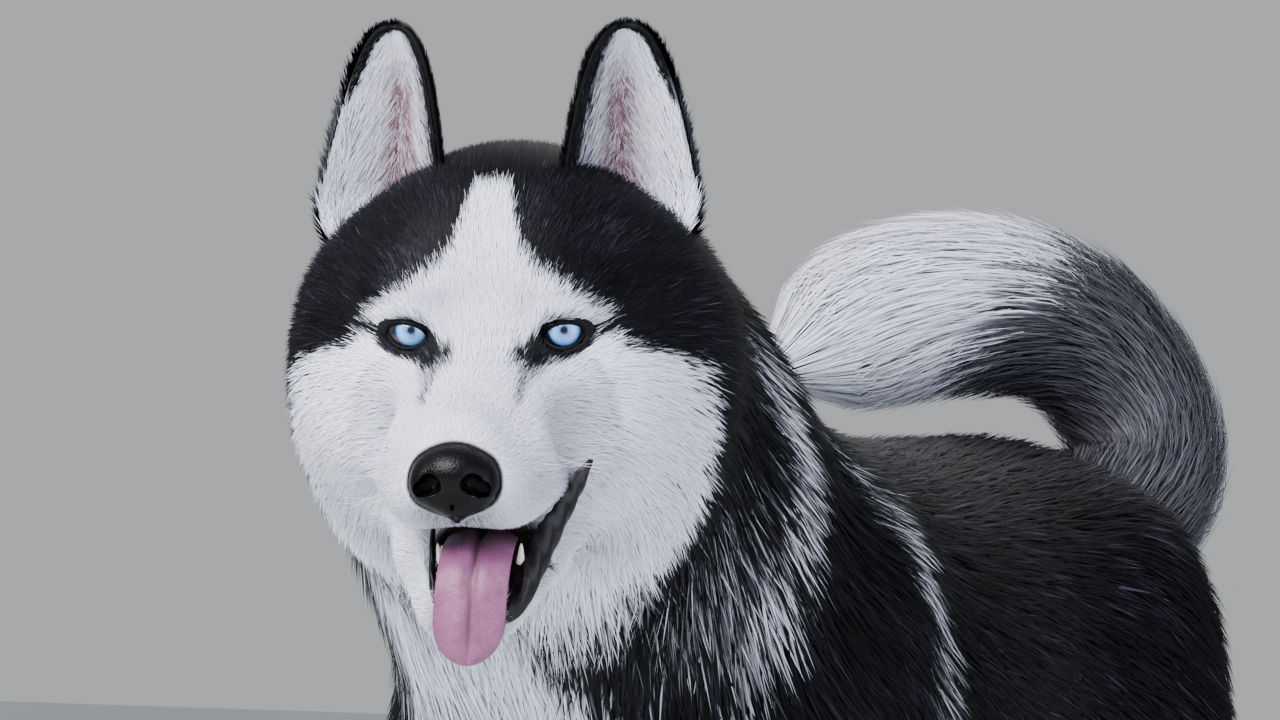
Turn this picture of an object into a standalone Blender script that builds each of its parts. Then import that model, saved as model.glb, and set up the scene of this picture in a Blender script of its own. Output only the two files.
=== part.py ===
"""A siberian husky as a still, life-size model: standing, head turned to its left, mouth open, tail over the back.

Metres, +Z up. The dog faces -Y and its left side is +X. The origin is on the floor below the middle of its box.
The coat's outer surface is one blended form, made from named masses of muscle and fur. Blocks part it into
head, jaw, neck, trunk and legs, with a hair's gap between them. Ears, eyes, nose, tongue and tail are let in.
"""

import math

import bmesh
import bpy
import numpy as np
from mathutils import Matrix, Vector

# Driving sizes of the dog, over the coat
WITHERS = 0.582
CROUP = 0.572
CHEST_DEPTH = 0.302
CHEST_HALF_WIDTH = 0.118
ELBOW_Z = 0.285
STANCE_FRONT = 0.064
STANCE_HIND = 0.078
GAP = 0.0003
SOLE_PRESS = 0.0015

# The head's own frame: its origin is midway between the eyes
HEAD_AT = Vector((0.060, -0.300, 0.6225))
HEAD_YAW = math.radians(20.0)
HEAD_PITCH = math.radians(12.0)
PUPIL_HALF = 0.033
EYE_BACK = 0.008
EYE_RADIUS = 0.0112


def head_matrix():
    """From the head's frame (forward, left, up) to the dog's frame."""
    forward = Vector((
        math.sin(HEAD_YAW) * math.cos(HEAD_PITCH),
        -math.cos(HEAD_YAW) * math.cos(HEAD_PITCH),
        -math.sin(HEAD_PITCH),
    ))
    left = Vector((math.cos(HEAD_YAW), math.sin(HEAD_YAW), 0.0))
    up = forward.cross(left)
    turn = Matrix((forward, left, up)).transposed().to_4x4()
    return Matrix.Translation(HEAD_AT) @ turn


HEAD = head_matrix()


def in_head(*place):
    return HEAD @ Vector(place)


# The blended form: every mass is a tapered cone between two joints, or an egg


def melt(first, second, soft):
    """Union of two distances whose seam is a fillet as wide as soft."""
    share = np.clip(0.5 + 0.5 * (second - first) / soft, 0.0, 1.0)
    return second * (1 - share) + first * share - soft * share * (1 - share)


def cone_distance(points, start, end, start_radius, end_radius, flat=(1.0, 1.0, 1.0)):
    scale = np.asarray(flat)
    start, end = np.asarray(start) / scale, np.asarray(end) / scale
    away = points / scale - start
    line = end - start
    along = np.clip(away @ line / (line @ line), 0.0, 1.0)
    reach = np.linalg.norm(away - along[:, None] * line, axis=1)
    return (reach - start_radius - along * (end_radius - start_radius)) * scale.min()


def egg_distance(points, centre, radii):
    away = points - np.asarray(centre)
    unit = np.linalg.norm(away / radii, axis=1)
    slope = np.linalg.norm(away / np.square(radii), axis=1) + 1e-9
    return unit * (unit - 1.0) / slope


def body_masses():
    """Trunk and neck, in the dog's frame. Each is (shape, its sizes, fillet)."""
    half = CHEST_HALF_WIDTH
    chest_mid = WITHERS - CHEST_DEPTH / 2 - 0.005
    return [
        ("egg", ((0, 0.095, chest_mid), (half, 0.215, CHEST_DEPTH / 2)), 0.02),
        ("egg", ((0, 0.035, WITHERS - 0.085), (0.088, 0.150, 0.086)), 0.03),
        ("egg", ((0, -0.060, 0.405), (0.094, 0.085, 0.118)), 0.04),
        ("egg", ((0, 0.280, CROUP - 0.117), (0.100, 0.180, 0.117)), 0.05),
        ("egg", ((0, 0.385, CROUP - 0.098), (0.098, 0.108, 0.092)), 0.04),
        ("cone", ((0, -0.010, 0.475), (0.012, -0.120, 0.556), 0.113, 0.103), 0.05),
        ("cone", ((0.012, -0.120, 0.556), (0.028, -0.200, 0.612), 0.104, 0.094), 0.03),
    ]


def leg_masses(side, front_step, hind_step):
    """Shoulder to paw and rump to paw on one side. The steps move the paws along the floor."""
    x, hx = STANCE_FRONT * side, STANCE_HIND * side
    wrist = (x, 0.004 + front_step, 0.105)
    toe_root = (x, -0.018 + front_step, 0.034)
    elbow = (0.072 * side, 0.026 + front_step * 0.3, ELBOW_Z)
    point = (0.078 * side, -0.058, 0.372)
    knee = (0.084 * side, 0.330 + hind_step * 0.5, 0.322)
    hock = (hx, 0.498 + hind_step, 0.165)
    pastern = (hx, 0.478 + hind_step, 0.046)
    legs = [
        ("cone", ((0.070 * side, 0.010, 0.510), point, 0.044, 0.050), 0.04),
        ("cone", (point, elbow, 0.050, 0.046), 0.035),
        ("cone", (elbow, wrist, 0.045, 0.0275), 0.03),
        ("cone", (wrist, toe_root, 0.0275, 0.027), 0.015),
        ("egg", ((x, -0.038 + front_step, 0.022), (0.033, 0.045, 0.028)), 0.012),
        ("egg", ((0.064 * side, 0.388, 0.412), (0.048, 0.098, 0.125)), 0.04),
        ("egg", ((0.048 * side, 0.442, 0.432), (0.050, 0.050, 0.086)), 0.04),
        ("cone", ((0.068 * side, 0.375, 0.400), knee, 0.064, 0.048), 0.04),
        ("cone", (knee, hock, 0.052, 0.028), 0.03),
        ("cone", (hock, pastern, 0.0275, 0.025), 0.015),
        ("egg", ((hx, 0.450 + hind_step, 0.021), (0.031, 0.043, 0.027)), 0.012),
    ]
    for number in range(4):
        spread = (number - 1.5) * 0.0155
        reach = 0.010 if number in (1, 2) else 0.0
        tip = (x + spread, -0.066 - reach + front_step, 0.013)
        legs.append(("egg", (tip, (0.0105, 0.021, 0.0175)), 0.007))
        tip = (hx + spread * 0.92, 0.423 - reach + hind_step, 0.013)
        legs.append(("egg", (tip, (0.0100, 0.020, 0.0165)), 0.007))
    return legs


def head_masses():
    """Skull, muzzle and cheeks, in the head's frame, for both sides at once (left is positive)."""
    return [
        ("egg", ((-0.064, 0, 0.006), (0.060, 0.062, 0.060)), 0.02),
        ("egg", ((-0.041, 0.012, 0.008), (0.036, 0.034, 0.041)), 0.02),
        ("egg", ((-0.038, 0.042, -0.022), (0.044, 0.034, 0.038)), 0.02),
        ("egg", ((-0.064, 0.051, -0.004), (0.040, 0.037, 0.044)), 0.02),
        ("egg", ((-0.066, 0.050, -0.042), (0.046, 0.042, 0.055)), 0.03),
        ("egg", ((-0.070, 0.046, -0.080), (0.040, 0.034, 0.040)), 0.03),
        ("cone", ((-0.004, 0, -0.038), (0.078, 0, -0.041), 0.034, 0.0235), 0.018),
        ("egg", ((0.062, 0.0165, -0.0465), (0.035, 0.0190, 0.0175)), 0.010),
        ("egg", ((0.018, 0.024, -0.041), (0.045, 0.023, 0.022)), 0.020),
        ("cone", ((0.020, 0.027, -0.044), (-0.046, 0.054, -0.046), 0.018, 0.030), 0.022),
        ("egg", ((-0.013, 0.031, 0.015), (0.016, 0.019, 0.009)), 0.008),
        ("egg", ((-EYE_BACK, PUPIL_HALF, 0), (0.0136, 0.0136, 0.0130)), 0.006),
        ("cone", ((-0.045, 0, -0.055), (-0.110, 0, -0.045), 0.050, 0.065), 0.03),
    ]


def jaw_masses():
    return [
        ("cone", ((-0.040, 0.030, -0.066), (0.026, 0.021, -0.088), 0.026, 0.016), 0.012),
        ("cone", ((0.026, 0.021, -0.088), (0.064, 0.010, -0.104), 0.016, 0.0135), 0.008),
        ("cone", ((-0.030, 0, -0.085), (0.056, 0, -0.107), 0.024, 0.0115), 0.010),
    ]


MOUTH = ("cone", ((-0.004, 0, -0.071), (0.100, 0, -0.082), 0.0125, 0.0125, (1, 1.9, 1)), 0.004)


def shape_distance(kind, sizes, points):
    if kind == "egg":
        return egg_distance(points, *sizes)
    return cone_distance(points, *sizes)


SIDES = ((1, -0.006, 0.012), (-1, 0.012, -0.016))


def body_distance(points):
    total = np.full(len(points), 1.0)
    for kind, sizes, soft in body_masses():
        total = melt(total, shape_distance(kind, sizes, points), soft)
    for side in SIDES:
        for kind, sizes, soft in leg_masses(*side):
            total = melt(total, shape_distance(kind, sizes, points), soft)
    return total


def head_distance(points):
    total = np.full(len(points), 1.0)
    inverse = np.array(HEAD.inverted())
    local = points @ inverse[:3, :3].T + inverse[:3, 3]
    mirrored = local * [1, 0, 1] + np.abs(local) * [0, 1, 0]
    for kind, sizes, soft in head_masses() + jaw_masses():
        total = melt(total, shape_distance(kind, sizes, mirrored), soft)
    kind, sizes, soft = MOUTH
    return -melt(-total, shape_distance(kind, sizes, mirrored), soft)


def form_distance(points):
    """How far each point is outside the coat's outer surface. It is negative inside."""
    return melt(body_distance(points), head_distance(points), 0.03)


# Where the long coat's locks grow: (place, reach, how deep the locks are there)
LONG_COAT = [
    ((0.020, -0.120, 0.520), (0.150, 0.110, 0.120), 0.019),
    ((0.000, -0.085, 0.380), (0.080, 0.060, 0.110), 0.018),
    ((0.105, 0.440, 0.400), (0.060, 0.060, 0.110), 0.016),
    ((-0.105, 0.440, 0.400), (0.060, 0.060, 0.110), 0.016),
]
CHEEK_COAT = ((-0.085, 0.080, -0.070), (0.060, 0.045, 0.070), 0.013)


def coat_depth(points):
    """How far under the coat's tips the solid core lies: 0 where the fur is short."""
    depth = np.zeros(len(points))
    for place, reach, deep in LONG_COAT:
        away = np.linalg.norm((points - place) / reach, axis=1)
        depth = np.maximum(depth, deep * np.clip(1.6 - away, 0, 1))
    inverse = np.array(HEAD.inverted())
    local = points @ inverse[:3, :3].T + inverse[:3, 3]
    place, reach, deep = CHEEK_COAT
    away = np.linalg.norm((local * [1, 0, 1] + np.abs(local) * [0, 1, 0] - place) / reach, axis=1)
    return np.maximum(depth, deep * np.clip(1.6 - away, 0, 1))


def core_distance(points):
    return form_distance(points) + coat_depth(points)


# Making and joining solids


def clear_scene():
    for obj in list(bpy.data.objects):
        bpy.data.objects.remove(obj, do_unlink=True)


def new_object(name, mesh, collection="husky"):
    folder = bpy.data.collections.get(collection)
    if folder is None:
        folder = bpy.data.collections.new(collection)
        bpy.context.scene.collection.children.link(folder)
    obj = bpy.data.objects.new(name, mesh)
    folder.objects.link(obj)
    return obj


def mesh_from(name, work):
    mesh = bpy.data.meshes.new(name)
    work.to_mesh(mesh)
    work.free()
    return mesh


def applied(obj):
    """Replaces obj's mesh with what its modifiers make of it."""
    bpy.context.view_layer.update()
    graph = bpy.context.evaluated_depsgraph_get()
    mesh = bpy.data.meshes.new_from_object(obj.evaluated_get(graph))
    obj.modifiers.clear()
    old, obj.data = obj.data, mesh
    bpy.data.meshes.remove(old)
    return obj


def remove(*objects):
    for obj in objects:
        mesh = obj.data
        bpy.data.objects.remove(obj)
        bpy.data.meshes.remove(mesh)


def combine(obj, other, operation, solver="EXACT"):
    cut = obj.modifiers.new(operation.lower(), "BOOLEAN")
    cut.operation = operation
    cut.solver = solver
    cut.object = other
    return applied(obj)


def copy_of(obj, name):
    return new_object(name, obj.data.copy())


def points_of(mesh):
    places = np.empty(len(mesh.vertices) * 3, np.float32)
    mesh.vertices.foreach_get("co", places)
    return places.reshape(-1, 3).astype(float)


def move_points(mesh, places):
    mesh.vertices.foreach_set("co", places.astype(np.float32).ravel())
    mesh.update()


def grown(obj, name, by=GAP):
    """A copy whose faces all lie a little further out."""
    copy = copy_of(obj, name)
    normals = np.array([v.normal for v in copy.data.vertices])
    move_points(copy.data, points_of(copy.data) + normals * by * 1.2)
    return copy


def let_in(host, guest):
    """Sinks guest into host: host gets a pocket that clears it by the gap."""
    pocket = grown(guest, "pocket")
    combine(host, pocket, "DIFFERENCE")
    remove(pocket)


def add_ball(work, centre, radii, turn=None, fineness=16):
    made = bmesh.ops.create_uvsphere(work, u_segments=fineness, v_segments=fineness // 2, radius=1.0)
    place = Matrix.Translation(centre) @ Matrix.Diagonal((*radii, 1.0))
    bmesh.ops.transform(work, matrix=(turn or Matrix()) @ place, verts=made["verts"])
    return made["verts"]


def add_mass(work, kind, sizes, turn):
    """One mass as a closed mesh, to start the blended form from."""
    if kind == "egg":
        add_ball(work, sizes[0], sizes[1], turn)
        return
    start, end, start_radius, end_radius = sizes[:4]
    flat = np.asarray(sizes[4]) if len(sizes) > 4 else np.ones(3)
    ends = add_ball(work, start, flat * start_radius, turn)
    ends += add_ball(work, end, flat * end_radius, turn)
    hull = bmesh.ops.convex_hull(work, input=ends)
    inner = [v for v in hull["geom_interior"] if isinstance(v, bmesh.types.BMVert)]
    bmesh.ops.delete(work, geom=inner, context="VERTS")


def settle(places, distance, rounds=4, longest=0.008):
    """Moves points onto the surface where distance is 0."""
    for _ in range(rounds):
        value = distance(places)
        slope = np.stack(
            [distance(places + off) - value for off in np.eye(3) * 0.0005], axis=1
        ) / 0.0005
        step = np.clip(value / np.maximum((slope**2).sum(1), 0.2), -longest, longest)
        places = places - slope * step[:, None]
    return places


def form_solid(name, groups, distance, voxel, wanted=None):
    """A closed mesh of the blended form. Groups are (masses, frame, mirrored); wanted picks points to settle."""
    work = bmesh.new()
    for masses, frame, mirrored in groups:
        turns = (frame, frame @ Matrix.Diagonal((1, -1, 1, 1))) if mirrored else (frame,)
        for kind, sizes, _ in masses:
            for turn in turns:
                add_mass(work, kind, sizes, turn)
    bmesh.ops.recalc_face_normals(work, faces=work.faces)
    obj = new_object(name, mesh_from(name, work))
    for smoothing in (6, 2):
        remesh = obj.modifiers.new("remesh", "REMESH")
        remesh.mode = "VOXEL"
        remesh.voxel_size = voxel
        smooth = obj.modifiers.new("smooth", "SMOOTH")
        smooth.iterations = smoothing
        applied(obj)
        places = points_of(obj.data)
        chosen = np.ones(len(places), bool) if wanted is None else wanted(places)
        places[chosen] = settle(places[chosen], distance)
        move_points(obj.data, places)
    return obj


def thinned(obj, triangles):
    obj.data.calc_loop_triangles()
    thin = obj.modifiers.new("thin", "DECIMATE")
    thin.ratio = triangles / len(obj.data.loop_triangles)
    thin.use_collapse_triangulate = True
    return applied(obj)


def block(name, corners, by=0.0):
    """The convex solid of these corners, for parting the form."""
    work = bmesh.new()
    middle = sum((Vector(c) for c in corners), Vector()) / len(corners)
    for corner in corners:
        away = (Vector(corner) - middle).normalized()
        work.verts.new(Vector(corner) + away * by * 2.0)
    bmesh.ops.convex_hull(work, input=work.verts)
    bmesh.ops.recalc_face_normals(work, faces=work.faces)
    return new_object(name, mesh_from(name, work), "cutters")


def part_off(whole, name, corners, solver="EXACT"):
    """Takes the share of whole inside the block as a new object, and leaves the rest a gap away."""
    piece = copy_of(whole, name)
    knife = block("knife", corners)
    combine(piece, knife, "INTERSECT", solver)
    wide = block("wide_knife", corners, GAP)
    combine(whole, wide, "DIFFERENCE", solver)
    remove(knife, wide)
    keep_largest(whole)
    return keep_largest(piece)


def keep_largest(obj):
    """Drops all but the largest closed surface."""
    work = bmesh.new()
    work.from_mesh(obj.data)
    left = set(work.verts)
    islands = []
    while left:
        seed = left.pop()
        island, edge = {seed}, [seed]
        while edge:
            for link in edge.pop().link_edges:
                for vert in link.verts:
                    if vert in left:
                        left.remove(vert)
                        island.add(vert)
                        edge.append(vert)
        islands.append(island)
    largest = max(islands, key=len)
    bmesh.ops.delete(
        work, geom=[v for v in work.verts if v not in largest], context="VERTS"
    )
    work.to_mesh(obj.data)
    work.free()
    return obj


def turned_diagonal(work, edge):
    """Where two triangles of one flat face share a crowded edge, parts that face the other way."""
    faces = list(edge.link_faces)
    for first in faces:
        for second in faces:
            if first is second or first.normal.dot(second.normal) < 0.995:
                continue
            start = next(loop.vert for loop in first.loops if loop.edge is edge)
            end = next(loop.vert for loop in second.loops if loop.edge is edge)
            if start is end:
                continue
            third = next(v for v in first.verts if v not in edge.verts)
            fourth = next(v for v in second.verts if v not in edge.verts)
            if third is fourth or work.edges.get((third, fourth)):
                continue
            work.faces.remove(first)
            work.faces.remove(second)
            work.faces.new((start, fourth, third))
            work.faces.new((fourth, end, third))
            return


def clean_faces(obj):
    """Leaves triangles only, and no edge that more than two of them share."""
    work = bmesh.new()
    work.from_mesh(obj.data)
    bmesh.ops.remove_doubles(work, verts=work.verts, dist=0.000002)
    bmesh.ops.triangulate(work, faces=work.faces)
    work.normal_update()
    for edge in [edge for edge in work.edges if len(edge.link_faces) > 2]:
        turned_diagonal(work, edge)
    work.to_mesh(obj.data)
    work.free()


# Pieces that are let into the form


def loft(name, rings):
    """A closed tube through rings of points that all have the same count."""
    work = bmesh.new()
    rows = [[work.verts.new(point) for point in ring] for ring in rings]
    for row, following in zip(rows, rows[1:]):
        for i, vert in enumerate(row):
            j = (i + 1) % len(row)
            work.faces.new((vert, row[j], following[j], following[i]))
    work.faces.new(reversed(rows[0]))
    work.faces.new(rows[-1])
    bmesh.ops.recalc_face_normals(work, faces=work.faces)
    return new_object(name, mesh_from(name, work))


def smooth_line(points, count):
    """Count places, evenly spread by length, on one smooth curve through the points, each with its direction."""
    ends = [2 * points[0] - points[1], *points, 2 * points[-1] - points[-2]]
    dense = []
    for before, start, end, after in zip(ends, ends[1:], ends[2:], ends[3:]):
        for share in np.linspace(0, 1, 24, endpoint=False):
            dense.append(0.5 * (
                2 * start
                + (end - before) * share
                + (2 * before - 5 * start + 4 * end - after) * share**2
                + (3 * start - before - 3 * end + after) * share**3
            ))
    dense.append(points[-1])
    dense = np.array(dense)
    lengths = np.concatenate([[0], np.cumsum(np.linalg.norm(np.diff(dense, axis=0), axis=1))])
    wanted = np.linspace(0, lengths[-1], count)
    places = np.stack([np.interp(wanted, lengths, dense[:, i]) for i in range(3)], axis=1)
    directions = np.gradient(places, axis=0)
    return places, directions / np.linalg.norm(directions, axis=1)[:, None]


def carried_frames(directions, start_up):
    """A side and an up direction for each place of a line, carried along it without twisting."""
    up = np.asarray(start_up, float)
    frames = []
    for direction in directions:
        up = up - direction * (up @ direction)
        up /= np.linalg.norm(up)
        frames.append((np.cross(direction, up), up))
    return frames


TAIL_LINE = [
    (0.000, 0.420, 0.480), (0.022, 0.478, 0.512), (0.037, 0.509, 0.548), (0.031, 0.511, 0.583),
    (0.018, 0.492, 0.613), (0.000, 0.461, 0.634), (-0.024, 0.426, 0.642), (-0.052, 0.395, 0.639),
    (-0.079, 0.370, 0.628), (-0.102, 0.347, 0.612),
]
TAIL_RADII = (0.040, 0.046, 0.049, 0.048, 0.047, 0.048, 0.051, 0.053, 0.051, 0.036)
TAIL_LENGTH = 0.38
TAIL_CORE = 0.48
TAIL_ROWS = 7
TAIL_ROUND = 6
TAIL_LOCK_SPAN = 0.23
TAIL_STEPS = 25
TAIL_CUTS = {"tail_middle": 11, "tail_tip": 18}
RUMP_CLEAR = 0.003


def tail_line():
    return smooth_line([np.array(p) for p in TAIL_LINE], TAIL_STEPS)


def tail_masses():
    """The brush's solid core as a chain of cones along its bent line."""
    places, _ = tail_line()
    radii = TAIL_CORE * np.interp(
        np.linspace(0, 1, TAIL_STEPS), np.linspace(0, 1, len(TAIL_RADII)), TAIL_RADII
    )
    last = int(TAIL_STEPS * 0.88)
    chain = zip(places[:last], places[1:last], radii[:last], radii[1:last])
    return [("cone", (start, end, first, last), 0.004) for start, end, first, last in chain]


def make_tail(body):
    """The brush in three lengths, its root let into the rump."""
    masses = tail_masses()

    def distance(points):
        total = np.full(len(points), 1.0)
        for kind, sizes, soft in masses:
            total = melt(total, shape_distance(kind, sizes, points), soft)
        return total

    tail = form_solid("tail_base", [(masses, Matrix(), False)], distance, 0.005)
    thinned(tail, 420)
    let_in(body, tail)
    lay_tail_locks()
    fuse_locks(tail)
    places, directions = tail_line()
    frames = carried_frames(directions, (0, 0, 1))
    for name, step in TAIL_CUTS.items():
        middle, (side, up) = Vector(places[step]), frames[step]
        corners = []
        for reach, forward in ((0.085, 0.0), (0.110, 0.25)):
            for across, lift in ((1, 1), (1, -1), (-1, 1), (-1, -1)):
                corner = middle + Vector(directions[step]) * forward
                corners.append(corner + Vector(side) * across * reach + Vector(up) * lift * reach)
        tail = part_off(tail, name, corners, "MANIFOLD")


EAR_ROOT = (-0.070, 0.0545, 0.047)
EAR_TIP = (-0.073, 0.0510, 0.1260)
EAR_LEAN = 0.0035
EAR_HALF_WIDTH = 0.0345
EAR_CUP = 0.62
EAR_THICK = 0.0062
EAR_FACES_OUT = math.radians(22)


def make_ear(side):
    """A cupped leaf, open to the front, whose rim narrows to a rounded tip."""
    root, tip = Vector(EAR_ROOT), Vector(EAR_TIP) + Vector((0, EAR_LEAN * side, 0))
    outward = Vector((-math.sin(EAR_FACES_OUT), math.cos(EAR_FACES_OUT), 0))
    backward = Vector((-math.cos(EAR_FACES_OUT), -math.sin(EAR_FACES_OUT), 0))
    work = bmesh.new()
    rows = []
    for height in (-0.42, -0.15, 0.08, 0.3, 0.5, 0.68, 0.82, 0.92, 0.985):
        half = EAR_HALF_WIDTH * (1 - max(height, -0.05)) ** 0.55 * (1.0 + min(height, 0) * 0.9)
        row = []
        for step in range(7):
            across = step / 3 - 1
            place = root.lerp(tip, height) + outward * across * half
            place += backward * half * EAR_CUP * (1 - abs(across) ** 2.2)
            row.append(work.verts.new(HEAD @ Vector((place.x, place.y * side, place.z))))
        rows.append(row)
    for row, following in zip(rows, rows[1:]):
        for i in range(6):
            work.faces.new((row[i], row[i + 1], following[i + 1], following[i]))
    obj = new_object("ear_left" if side > 0 else "ear_right", mesh_from("ear", work))
    wall = obj.modifiers.new("wall", "SOLIDIFY")
    wall.thickness = EAR_THICK
    wall.offset = 0
    applied(obj)
    work = bmesh.new()
    work.from_mesh(obj.data)
    bmesh.ops.recalc_face_normals(work, faces=work.faces)
    work.to_mesh(obj.data)
    work.free()
    return obj


def make_eye(side):
    work = bmesh.new()
    centre = (-EYE_BACK, PUPIL_HALF * side, 0)
    add_ball(work, centre, (EYE_RADIUS,) * 3, HEAD, 12)
    return new_object("eye_left" if side > 0 else "eye_right", mesh_from("eye", work))


LID_HALF_WIDTH = 0.0106
LID_RISE = 0.0070
LID_DROP = 0.0060
LID_TILT = math.radians(15)


def lid_ring(side, forward, scale, count=16):
    """The almond outline between the lids, its outer corner higher than its inner one."""
    ring = []
    for i in range(count):
        turn = 2 * math.pi * i / count
        height = LID_RISE if math.sin(turn) > 0 else LID_DROP
        across = math.cos(turn) * LID_HALF_WIDTH * scale
        lift = math.sin(turn) * abs(math.sin(turn)) ** 0.3 * height * scale
        outward = across * math.cos(LID_TILT) - lift * math.sin(LID_TILT)
        upward = across * math.sin(LID_TILT) + lift * math.cos(LID_TILT)
        ring.append(in_head(forward - outward * 0.25, (PUPIL_HALF + 0.001 + outward) * side, upward))
    return ring


def open_lids(head, side):
    """Cuts the slit between the lids, down to the eyeball."""
    slit = loft("slit", [lid_ring(side, -0.004, 0.92), lid_ring(side, 0.004, 1.0), lid_ring(side, 0.022, 1.5)])
    combine(head, slit, "DIFFERENCE")
    remove(slit)


NOSE_MASSES = [
    ("egg", ((0.0915, 0, -0.0340), (0.0165, 0.0160, 0.0135)), 0.004),
    ("egg", ((0.0950, 0.0100, -0.0385), (0.0110, 0.0085, 0.0100)), 0.003),
    ("egg", ((0.0960, 0, -0.0470), (0.0095, 0.0085, 0.0095)), 0.004),
]
NOSTRILS = [
    ("egg", ((0.1070, 0.0088, -0.0390), (0.0080, 0.0042, 0.0048)), 0.0015),
    ("cone", ((0.1030, 0.0100, -0.0410), (0.0940, 0.0190, -0.0440), 0.0018, 0.0016), 0.0015),
]


def nose_distance(points):
    inverse = np.array(HEAD.inverted())
    local = points @ inverse[:3, :3].T + inverse[:3, 3]
    mirrored = local * [1, 0, 1] + np.abs(local) * [0, 1, 0]
    total = np.full(len(points), 1.0)
    for kind, sizes, soft in NOSE_MASSES:
        total = melt(total, shape_distance(kind, sizes, mirrored), soft)
    for kind, sizes, soft in NOSTRILS:
        total = -melt(-total, shape_distance(kind, sizes, mirrored), soft)
    return total


TONGUE_LINE = [
    (0.000, 0, -0.078), (0.030, 0, -0.086), (0.058, 0, -0.0905), (0.078, 0, -0.0960),
    (0.0905, 0, -0.1080), (0.0930, 0, -0.1240),
]
TONGUE_HALF_WIDTHS = (0.0120, 0.0165, 0.0172, 0.0172, 0.0168, 0.0090)
TONGUE_HALF_THICK = 0.0036


def make_tongue():
    places, directions = smooth_line([np.array(p) for p in TONGUE_LINE], 11)
    halves = np.interp(np.linspace(0, 1, 11), np.linspace(0, 1, 6), TONGUE_HALF_WIDTHS)
    rings = []
    for place, direction, half in zip(places, directions, halves):
        up = np.array((-direction[2], 0, direction[0]))
        ring = []
        for i in range(12):
            turn = 2 * math.pi * i / 12
            across = math.cos(turn)
            groove = 0.0011 * math.exp(-((across / 0.22) ** 2)) * (math.sin(turn) > 0)
            lift = TONGUE_HALF_THICK * math.sin(turn) * (1.0 - 0.35 * across**2) - groove
            ring.append(HEAD @ Vector(place + up * lift + np.array((0, 1, 0)) * across * half))
        rings.append(ring)
    return loft("tongue", rings)


TEETH_BELOW = [
    (0.0745, 0.0125, -0.0935, 0.0028, 0.0120), (0.0790, 0.0065, -0.0950, 0.0018, 0.0055),
    (0.0800, 0.0020, -0.0955, 0.0016, 0.0050), (0.0600, 0.0165, -0.0880, 0.0024, 0.0060),
    (0.0500, 0.0185, -0.0850, 0.0028, 0.0070), (0.0390, 0.0205, -0.0820, 0.0032, 0.0080),
]


def add_spike(work, root, tip, radius, sides=5):
    """A small pointed cone, for a tooth or a claw."""
    direction = Vector(tip) - Vector(root)
    made = bmesh.ops.create_cone(
        work, cap_ends=True, segments=sides, radius1=radius, radius2=radius * 0.15, depth=direction.length
    )
    turn = direction.to_track_quat("Z", "Y").to_matrix().to_4x4()
    middle = (Vector(tip) + Vector(root)) / 2
    bmesh.ops.transform(work, matrix=Matrix.Translation(middle) @ turn, verts=made["verts"])


def fuse(host, work):
    """Joins separate small pieces to host as one solid."""
    extra = new_object("extra", mesh_from("extra", work))
    combine(host, extra, "UNION")
    remove(extra)
    return keep_largest(host)


def fuse_locks(host, keep=False):
    """Joins every lock to host in one union, and drops the locks unless they are kept for another host."""
    locks = bpy.data.collections["locks"]
    join = host.modifiers.new("join", "BOOLEAN")
    join.operation = "UNION"
    join.solver = "MANIFOLD"
    join.operand_type = "COLLECTION"
    join.collection = locks
    applied(host)
    if not keep:
        remove(*locks.objects)
    return keep_largest(host)


def add_teeth(jaw):
    work = bmesh.new()
    for forward, across, up, radius, height in TEETH_BELOW:
        for side in (1, -1):
            root = in_head(forward - 0.002, across * side, up - 0.006)
            tip = in_head(forward + 0.0015, (across + 0.001) * side, up + height)
            add_spike(work, root, tip, radius)
    fuse(jaw, work)


def add_claws(paw, toes):
    work = bmesh.new()
    for toe in toes:
        centre, radii = toe[1]
        start = Vector(centre) + Vector((0, -radii[1] * 0.70, 0.003))
        add_spike(work, start, start + Vector((0, -0.0155, -0.0085)), 0.0030)
    fuse(paw, work)


# Locks of the long coat


LOCK_STEPS = (0.0, 0.35, 0.7, 1.0)
LOCK_SHARES = ((0.80, 1.0), (1.0, 0.9), (0.68, 0.55))


def make_lock(path, normals, half_width, half_thick):
    """A flat blade of three sides along a bent path of four points, tapered to its tip."""
    work = bmesh.new()
    rows = []
    for i, (wide, deep) in enumerate(LOCK_SHARES):
        along = path[i + 1] - path[i]
        side = np.cross(along, normals[i])
        side /= np.linalg.norm(side)
        up = np.cross(side, along) / np.linalg.norm(along)
        across, rise = side * half_width * wide, up * half_thick * deep
        ring = (path[i] + across - rise, path[i] + rise, path[i] - across - rise)
        rows.append([work.verts.new(point) for point in ring])
    tip = work.verts.new(path[3])
    for row, following in zip(rows, rows[1:]):
        for i in range(3):
            work.faces.new((row[i - 1], row[i], following[i], following[i - 1]))
    for i in range(3):
        work.faces.new((rows[-1][i - 1], rows[-1][i], tip))
    work.faces.new(reversed(rows[0]))
    bmesh.ops.recalc_face_normals(work, faces=work.faces)
    return new_object("lock", mesh_from("lock", work), "locks")


def slopes(points, distance):
    """The outward direction of the form at each point."""
    value = distance(points)
    slope = np.stack([distance(points + off) - value for off in np.eye(3) * 0.0005], axis=1)
    return slope / np.linalg.norm(slope, axis=1)[:, None]


def roots_outward(starts, rays, reach=0.22, count=90):
    """Where each ray leaves the solid core for the first time."""
    steps = np.linspace(0.0, reach, count)
    places = starts[:, None] + rays[:, None] * steps[None, :, None]
    outside = core_distance(places.reshape(-1, 3)).reshape(len(starts), count) > 0
    first = np.argmax(outside, axis=1)
    return settle(places[np.arange(len(starts)), first], core_distance)


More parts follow.
